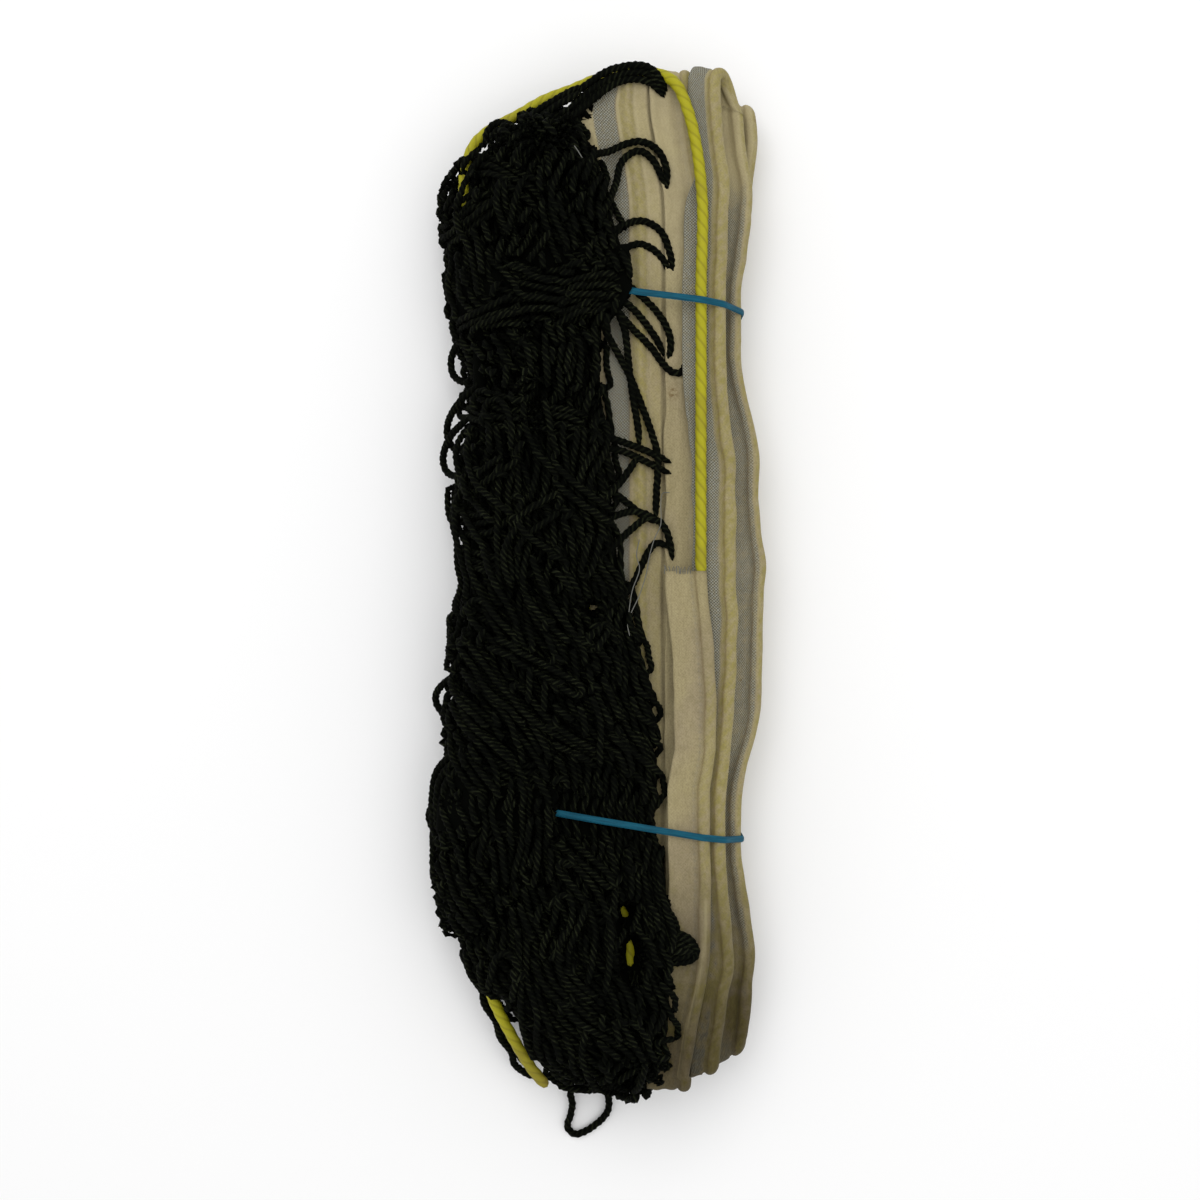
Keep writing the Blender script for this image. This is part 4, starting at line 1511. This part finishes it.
def free_cord(route, r, lay):
    """A laid cord along a route of its own."""
    path = curve_through(route, 1.2)
    return tube(path, level_normal(path), r * 1.1, 3, 0.22, 2, lay, 0.0, 0.3, 3.0)


def thread(route, radius, step):
    """A sewing thread along a route."""
    path = curve_through(route, step)
    return tube(path, level_normal(path), radius, 2, 0.0, 3, 9.0, 0.0, 0.8)


def band_skin(pile, zone):
    """A thin dark sheet over a covered band, so that it can't show between the cords: the surface raised by
    the cover of each column, easing down at its ends."""
    i, j = np.flatnonzero(zone.any(axis=1)), np.flatnonzero(zone.any(axis=0))
    box = np.ix_(np.arange(i[0] - 2, i[-1] + 3), np.arange(j[0], j[-1] + 1, 2))
    rows = np.arange(len(box[0]))
    rise = np.where(pile.cover_zone(), pile.cover, 0)[box].max(axis=0)[None, :, None]
    rise = rise * ease((np.minimum(rows, rows[::-1])[:, None, None] + 1) / 4)
    top, under = (pile.place[box] + pile.normal[box] * (rise + off) for off in (0.75, 0.15))
    loop = np.concatenate([top, under[:, ::-1]], 1)
    n, m = loop.shape[:2]
    return loop.reshape(-1, 3), [ring_faces(n, m)[:, ::-1], closed_ends(n, m)[:, ::-1]]


class Cords:
    """Twine cords under way: what lies deep down, with a coarser mesh, what lies on top, and the knots."""

    def __init__(self, pile, r, lay):
        self.pile, self.r, self.pitch = pile, r, lay
        self.rng = np.random.default_rng(5)
        self.under, self.upper, self.knots = [], [], []

    def add_upper(self, line, up):
        self.upper.append(tube(line, up, self.r, 3, 0.28, 2, self.pitch, self.rng.uniform(0, 6)))

    def start_at(self, i, j):
        """Where a place of the grid lies on the surface, as millimetres along t and v."""
        return j / (self.pile.across - 1) * self.pile.length[i], self.pile.v[i]

    def cross_over(self):
        """Lays the groups of cords that lie across the others."""
        for count, route in CROSS_CORDS:
            for own in side_by_side(route, count, 2.2 * self.r, self.rng):
                for line, up in self.pile.drape(self.pile.from_above(own), self.r):
                    self.add_upper(line, up)

    def cover_bands(self):
        """Lays short cords over the bands' covered lengths, each where they lie thinnest so far."""
        pile, rng = self.pile, self.rng
        weary = np.zeros(pile.height[::2, ::3].shape)
        for _ in range(COVER_CORDS):
            short = np.where(pile.cover > 0.5, pile.height - pile.cover, 19)[::2, ::3] + weary
            i, j = np.divmod(int(np.argmin(short + rng.uniform(0, 0.8, short.shape))), short.shape[1])
            if short[i, j] > 2.0:
                break
            weary[max(0, i - 2):i + 3, max(0, j - 1):j + 2] += 1.5
            start = self.start_at(i * 2, j * 3)
            path = pile.follow(5000 + int(rng.integers(900)), start, rng.uniform(18, 46, 2), 0.5)
            for line, up in pile.drape(path, self.r):
                self.add_upper(line, up)

    def fill_layer(self, layer, goal, limit, room, wander):
        """Lays long cords along the flow, each from where the pile is lowest, until all of it reaches the
        goal."""
        pile, rng = self.pile, self.rng
        tired = np.zeros(pile.height[::3, ::3].shape)
        for number in range(room):
            coarse = pile.height[::3, ::3] / goal + tired + rng.uniform(0, 0.3, tired.shape)
            coarse[pile.ceiling[::3, ::3] < goal] = 9
            i, j = np.divmod(int(np.argmin(coarse)), coarse.shape[1])
            if coarse[i, j] > 1.05:
                break
            tired[max(0, i - 2):i + 3, max(0, j - 1):j + 2] += 0.25
            start = self.start_at(i * 3, j * 3)
            path = pile.follow(1000 * layer + number, start, rng.uniform(40, 170, 2), wander)
            if len(path) < 12:
                continue
            for line, up in pile.lay(path, self.r, limit):
                if layer == 0:
                    phase = rng.uniform(0, 6)
                    self.under.append(tube(line[::2], up[::2], self.r, 3, 0.3, 2, self.pitch * 2, phase))
                else:
                    self.add_upper(line, up)

    def add_hairpins(self):
        """Lays doubled cords over the rest, some with a knot. They keep further left at the lower end."""
        pile, rng, n = self.pile, self.rng, len(self.pile.v)
        for number in range(HAIRPINS):
            i = rng.uniform(0.06, 0.94) * (n - 1)
            low = pile.v[0] + i < -105
            t = rng.uniform(0.22, 0.78 if low else 0.9)
            start = t * np.interp(i, np.arange(n), pile.length), pile.v[0] + i
            way = -1 if rng.uniform() < 0.5 else 1
            reach = rng.uniform(14, 62)
            reach = (reach, 0) if way < 0 else (0, reach)
            turn = rng.uniform(-0.7, 0.7) * (0.4 if low else 1.0)
            line = pile.follow(7000 + number, start, reach, 0.9, turn)
            if len(line) < 8:
                continue
            for path, up in pile.drape(bight(line[::way], rng.uniform(4.4, 8.5)), self.r):
                self.add_upper(path, up)
                k = int(rng.uniform(0.3, 0.7) * len(path))
                if len(self.knots) < KNOT_TURNS and len(path) > 24 and path[k, 2] > 3 * self.r:
                    across = path[k + 1] - path[k - 1]
                    self.knots += knot(path[k], across / np.linalg.norm(across), up[k], self.r, rng)


class COURTNET_OT_netting(bpy.types.Operator):
    """Netting: a dark inner surface and the cords that lie on it, layer upon layer"""

    bl_idname = "court_net.netting"
    bl_label = "Netting"

    def execute(self, context):
        pile = Pile()
        size = sizes()
        r, lay = size.twine / MM / 2, size.twine_pitch / MM
        self.make_inside(pile)
        cords = Cords(pile, r, lay)
        for layer, settings in enumerate(LAYERS):
            if layer == len(LAYERS) - 1:
                cords.cross_over()
                cords.cover_bands()
            cords.fill_layer(layer, *settings)
        cords.add_hairpins()
        cord_pieces("netting_under", cords.under, 120)
        cord_pieces("netting_upper", cords.upper, 40)
        cord_pieces("netting_knots", cords.knots, 100)
        for name, node, k in (("first_hook_tip", "hook_1", 0), ("second_hook_tip", "hook_2", 0),
                              ("third_hook_tip", "hook_3", 1)):
            SHOWN[name] = np.array(FREE_CORDS[node][k][-1]) * MM
        for node, routes in FREE_CORDS.items():
            piece = cord_pieces(node + "_dressed", [free_cord(route, r, lay) for route in routes], 20)[0]
            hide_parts(node)
        cord_pieces("loose_cords", [free_cord(route, r, lay) for route in LOOSE_CORDS], 20)
        self.make_threads(cords.rng)
        return {"FINISHED"}

    def make_inside(self, pile):
        """The pile's dark inside, a flat-bottomed shell under its surface, and the dark skins that keep the
        covered bands and the covered rope from showing between the cords."""
        dark = finish_of("dark_netting")
        n, m = pile.place.shape[:2]
        cell = np.ix_(np.arange(0, n, 4), np.arange(0, int(m * 0.985), 4))
        core = pile.place[cell] - pile.normal[cell] * 0.6
        bottom = core * (1, 1, 0) + (0, 0, 2.5)
        shell = np.concatenate([core, bottom[:, ::-1]], 1)
        rings, around = shell.shape[:2]
        points = np.vstack([shell.reshape(-1, 3), shell.mean(axis=1)[[0, -1]]])
        faces = [ring_faces(rings, around)[:, ::-1], fan_caps(rings, around)]
        inner = add_piece("netting_inner", points, faces, dark, "bundle")
        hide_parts(*[f"hank_bottom_{k}" for k in range(1, 5)],
                    *[f"hank_middle_{k}" for k in range(1, 5)],
                    *[f"hank_top_{k}" for k in range(1, 4)], "hank_spill")
        for number, half in enumerate((pile.place[:, :, 1] > 0, pile.place[:, :, 1] < 0)):
            points, faces = band_skin(pile, pile.cover_zone() & half)
            add_piece(f"netting_over_band_{number + 1}", points, faces, dark, "bundle")
        covered = curve_through(COVERED_TAIL, 3.0)
        points, quads, ends, *_ = tube(covered, upwards(covered), 3.42, 1, 0.0, 12, 90.0, 0.0, 0.9)
        add_piece("netting_over_rope", points, [quads, ends], dark, "bundle")

    def make_threads(self, rng):
        """Loose white threads, and the frayed ends along the front lap's mouth."""
        threads = [thread(route, 0.24, 1.5) for route in THREADS]
        edge = MOUTH_Y + MOUTH_STAND
        for x in np.linspace(32.5, 53.5, 19) + rng.uniform(-0.5, 0.5, 19):
            way, long = rng.uniform(-0.7, 0.7), rng.uniform(1.0, 3.2)
            threads.append(thread([[x, edge - 1.5, 49.6], [x + 0.3 * way, edge + 0.3 * long, 49.8],
                                   [x + way * long * 0.7, edge + long, 48.6]], 0.2, 0.6))
        points, faces, _ = join(threads)
        add_piece("sewing_threads", points, faces, finish_of("sewing_thread"), "bundle")


# The side tape's width, its thickness, and how far it goes on past the top of the solid ones before its
# fold.
SIDE_WIDTH, SIDE_THICK, SIDE_LAP = 41.0, 1.2, 11.5


class COURTNET_OT_side_tape(bpy.types.Operator):
    """Side tape: a wide flat stretch of canvas that lies on the netting, folded over at the top"""

    bl_idname = "court_net.side_tape"
    bl_label = "Side tape"

    def execute(self, context):
        top = SIDE_TOP + SIDE_LAP
        y1 = np.arange(SIDE_BOTTOM, top, 2.5)
        a = np.linspace(0, math.pi, 9)[1:-1]
        z1, z2 = LEDGE_Z + 0.3 + SIDE_H / 2, LEDGE_Z + 0.3 + SIDE_H / 2 + SIDE_PITCH
        y = np.concatenate([y1, top + SIDE_PITCH / 2 * np.sin(a), y1[::-1]])
        z = np.concatenate([np.full(len(y1), z1), z1 + SIDE_PITCH * (1 - np.cos(a)) / 2,
                            np.full(len(y1), z2)])
        spin = np.concatenate([np.zeros(len(y1)), -a, np.full(len(y1), -math.pi)])
        held = np.clip(y, SIDE_BOTTOM, SIDE_TOP)
        z = z + lift(15.0, held)
        s = lengths_along(np.stack([y, z], 1))
        share = np.linspace(0, 1, 56)
        mm = share[None, :] * SIDE_WIDTH
        ridge = 1.5 * ridge_at(mm, 16.0, 2.4) - 0.5 * ridge_at(mm, 12.6, 0.7) + 0.5 * ridge_at(mm, 33, 3.5)
        tuck = -2.4 * (1 - ease((mm - 3.6) / 2.6))
        wave = (0.5 * waves(21, 5, 30, 120)(s)[:, None] * np.sin(mm * 0.2)
                + 0.45 * waves(22, 5, 18, 70)(s)[:, None] * share)
        corner = 13.0 * ease((y - top + 16) / 18) ** 1.6
        edge = (waves(23, 6, 14, 120)(s) * 0.9 + corner)[:, None] * share ** 3
        x = (TAPE_X - lean(held) - TUNNEL_R - TAPE_FLAT + 4.4)[:, None] - mm + edge
        form = np.where(spin < -0.1, -1.0, 1.0)[:, None] * (ridge + tuck + wave)
        out_y, out_z = np.sin(spin)[:, None], np.cos(spin)[:, None]
        faces = [np.stack([x, y[:, None] + (form + off) * out_y, z[:, None] + (form + off) * out_z], -1)
                 for off in (SIDE_THICK / 2, -SIDE_THICK / 2)]
        mm = np.concatenate([mm[0], mm[0, ::-1]])
        rows = np.ones((len(s), 1))
        marks = {"open": between(mm, 20.5, 32.5, 1.5) * rows,
                 "rope": (between(mm, 11.5, 19.0, 1.5) * 0.9 + between(mm, 5, 10, 1.5) * 0.35) * rows,
                 "crease": ridge_at(mm, 21.5, 0.5) * 0.5 * rows,
                 "seam": ridge_at(mm, 12.4, 0.4) * rows}
        piece = add_tape("side_tape", np.concatenate([faces[0], faces[1][:, ::-1]], 1), s, mm, marks)
        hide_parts("side_tape_1", "side_tape_2")
        return {"FINISHED"}


class COURTNET_OT_stains(bpy.types.Operator):
    """Brown stains on the head tape, each where its image point meets the canvas"""

    bl_idname = "court_net.stains"
    bl_label = "Stains"

    def execute(self, context):
        pieces = [bpy.data.objects[name] for name in TAPE_PIECES]
        tree = tree_of(pieces)
        places = [(name, on_view(IMAGE_POINTS[name], tree), reach * MM) for name, reach in STAINS]
        for piece in pieces:
            at = vertices_of(piece)
            near = [np.exp(-(((at - place) / reach) ** 2).sum(axis=1)) for _, place, reach in places]
            add_mark(piece.data, "stain", np.max(near, axis=0))
        SHOWN.update({name: place for name, place, _ in places})
        return {"FINISHED"}


# The steps along a band's line, and how far its middle stands out past its edges.
BAND_STEP, BAND_CROWN = 1.2, 0.85


class COURTNET_OT_bands(bpy.types.Operator):
    """Two flat elastic bands, each on its own body"""

    bl_idname = "court_net.bands"
    bl_label = "Bands"

    def execute(self, context):
        width = sizes().band_width / MM
        across = np.linspace(-0.5, 0.5, 9)
        thick = np.concatenate([BAND_CROWN * (1 - (2 * across) ** 4), [0.0] * 9])
        over = np.concatenate([across, across[::-1]]) * width
        for number, (name, node, body) in enumerate((("upper_elastic", "band_upper", "upper_band"),
                                                     ("lower_elastic", "band_lower", "lower_band"))):
            off, slope = BAND_OFF[number]
            loop = band_loop(BAND_CORNERS[number], BAND_GAP + 0.05)
            loop = even(np.vstack([loop, loop[:1]]), BAND_STEP)[:-1]
            out = np.roll(loop, -1, 0) - np.roll(loop, 1, 0)
            out = unit(np.stack([out[:, 1], -out[:, 0]], 1), 0.0)
            s = lengths_along(loop)
            x = loop[:, 0, None] + out[:, 0, None] * thick
            z = loop[:, 1, None] + out[:, 1, None] * thick
            y = BAND_Y[number] + off - (BAND_SLANT + slope) * x + over[None, :]
            n, m = x.shape
            uv = ring_map(np.append(s, s[-1] + BAND_STEP), over).reshape(-1, 2)
            piece = add_piece(name, np.stack([x, y, z], -1).reshape(-1, 3), [ring_faces(n, m, True)],
                              finish_of("blue_elastic"), body, uv)
            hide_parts(node)
        return {"FINISHED"}


def band_loop(corners, grow):
    """The band's line round circles: the points where the convex hull of the circles lies, going round."""
    a = np.radians(np.arange(0, 360, 1.0))
    d = np.stack([np.cos(a), np.sin(a)], 1)
    circles = np.array(corners, float)
    centres, radii = circles[:, :2], circles[:, 2] + grow
    best = np.argmax(d[:, :1] * centres[:, 0] + d[:, 1:] * centres[:, 1] + radii, axis=1)
    return centres[best] + radii[best][:, None] * d


OPERATORS = (COURTNET_OT_stage, COURTNET_OT_ropes, COURTNET_OT_tape, COURTNET_OT_stains, COURTNET_OT_netting,
             COURTNET_OT_side_tape, COURTNET_OT_bands)


class COURTNET_PT_panel(bpy.types.Panel):
    """Pieces of the folded court net"""

    bl_idname = "COURTNET_PT_panel"
    bl_label = "Folded court net"
    bl_space_type = "VIEW_3D"
    bl_region_type = "UI"
    bl_category = "Court net"

    def draw(self, context):
        for operator in OPERATORS:
            self.layout.operator(operator.bl_idname)
        scene = context.scene
        for group in (scene.court_net_sizes, scene.court_net_studio, scene.court_net_colours):
            for key in group.__annotations__:
                self.layout.prop(group, key)


CLASSES = (CourtNetSizes, CourtNetColours, CourtNetStudio, *OPERATORS, COURTNET_PT_panel)


def register():
    for cls in CLASSES:
        bpy.utils.register_class(cls)
    bpy.types.Scene.court_net_sizes = PointerProperty(type=CourtNetSizes)
    bpy.types.Scene.court_net_colours = PointerProperty(type=CourtNetColours)
    bpy.types.Scene.court_net_studio = PointerProperty(type=CourtNetStudio)


def unregister():
    del bpy.types.Scene.court_net_studio, bpy.types.Scene.court_net_colours, bpy.types.Scene.court_net_sizes
    for cls in reversed(CLASSES):
        bpy.utils.unregister_class(cls)


def main():
    """Builds the whole object in order."""
    register()
    bpy.ops.court_net.stage()
    bpy.ops.court_net.ropes()
    bpy.ops.court_net.tape()
    bpy.ops.court_net.stains()
    bpy.ops.court_net.netting()
    bpy.ops.court_net.side_tape()
    bpy.ops.court_net.bands()
    write_points()


if __name__ == "__main__":
    main()
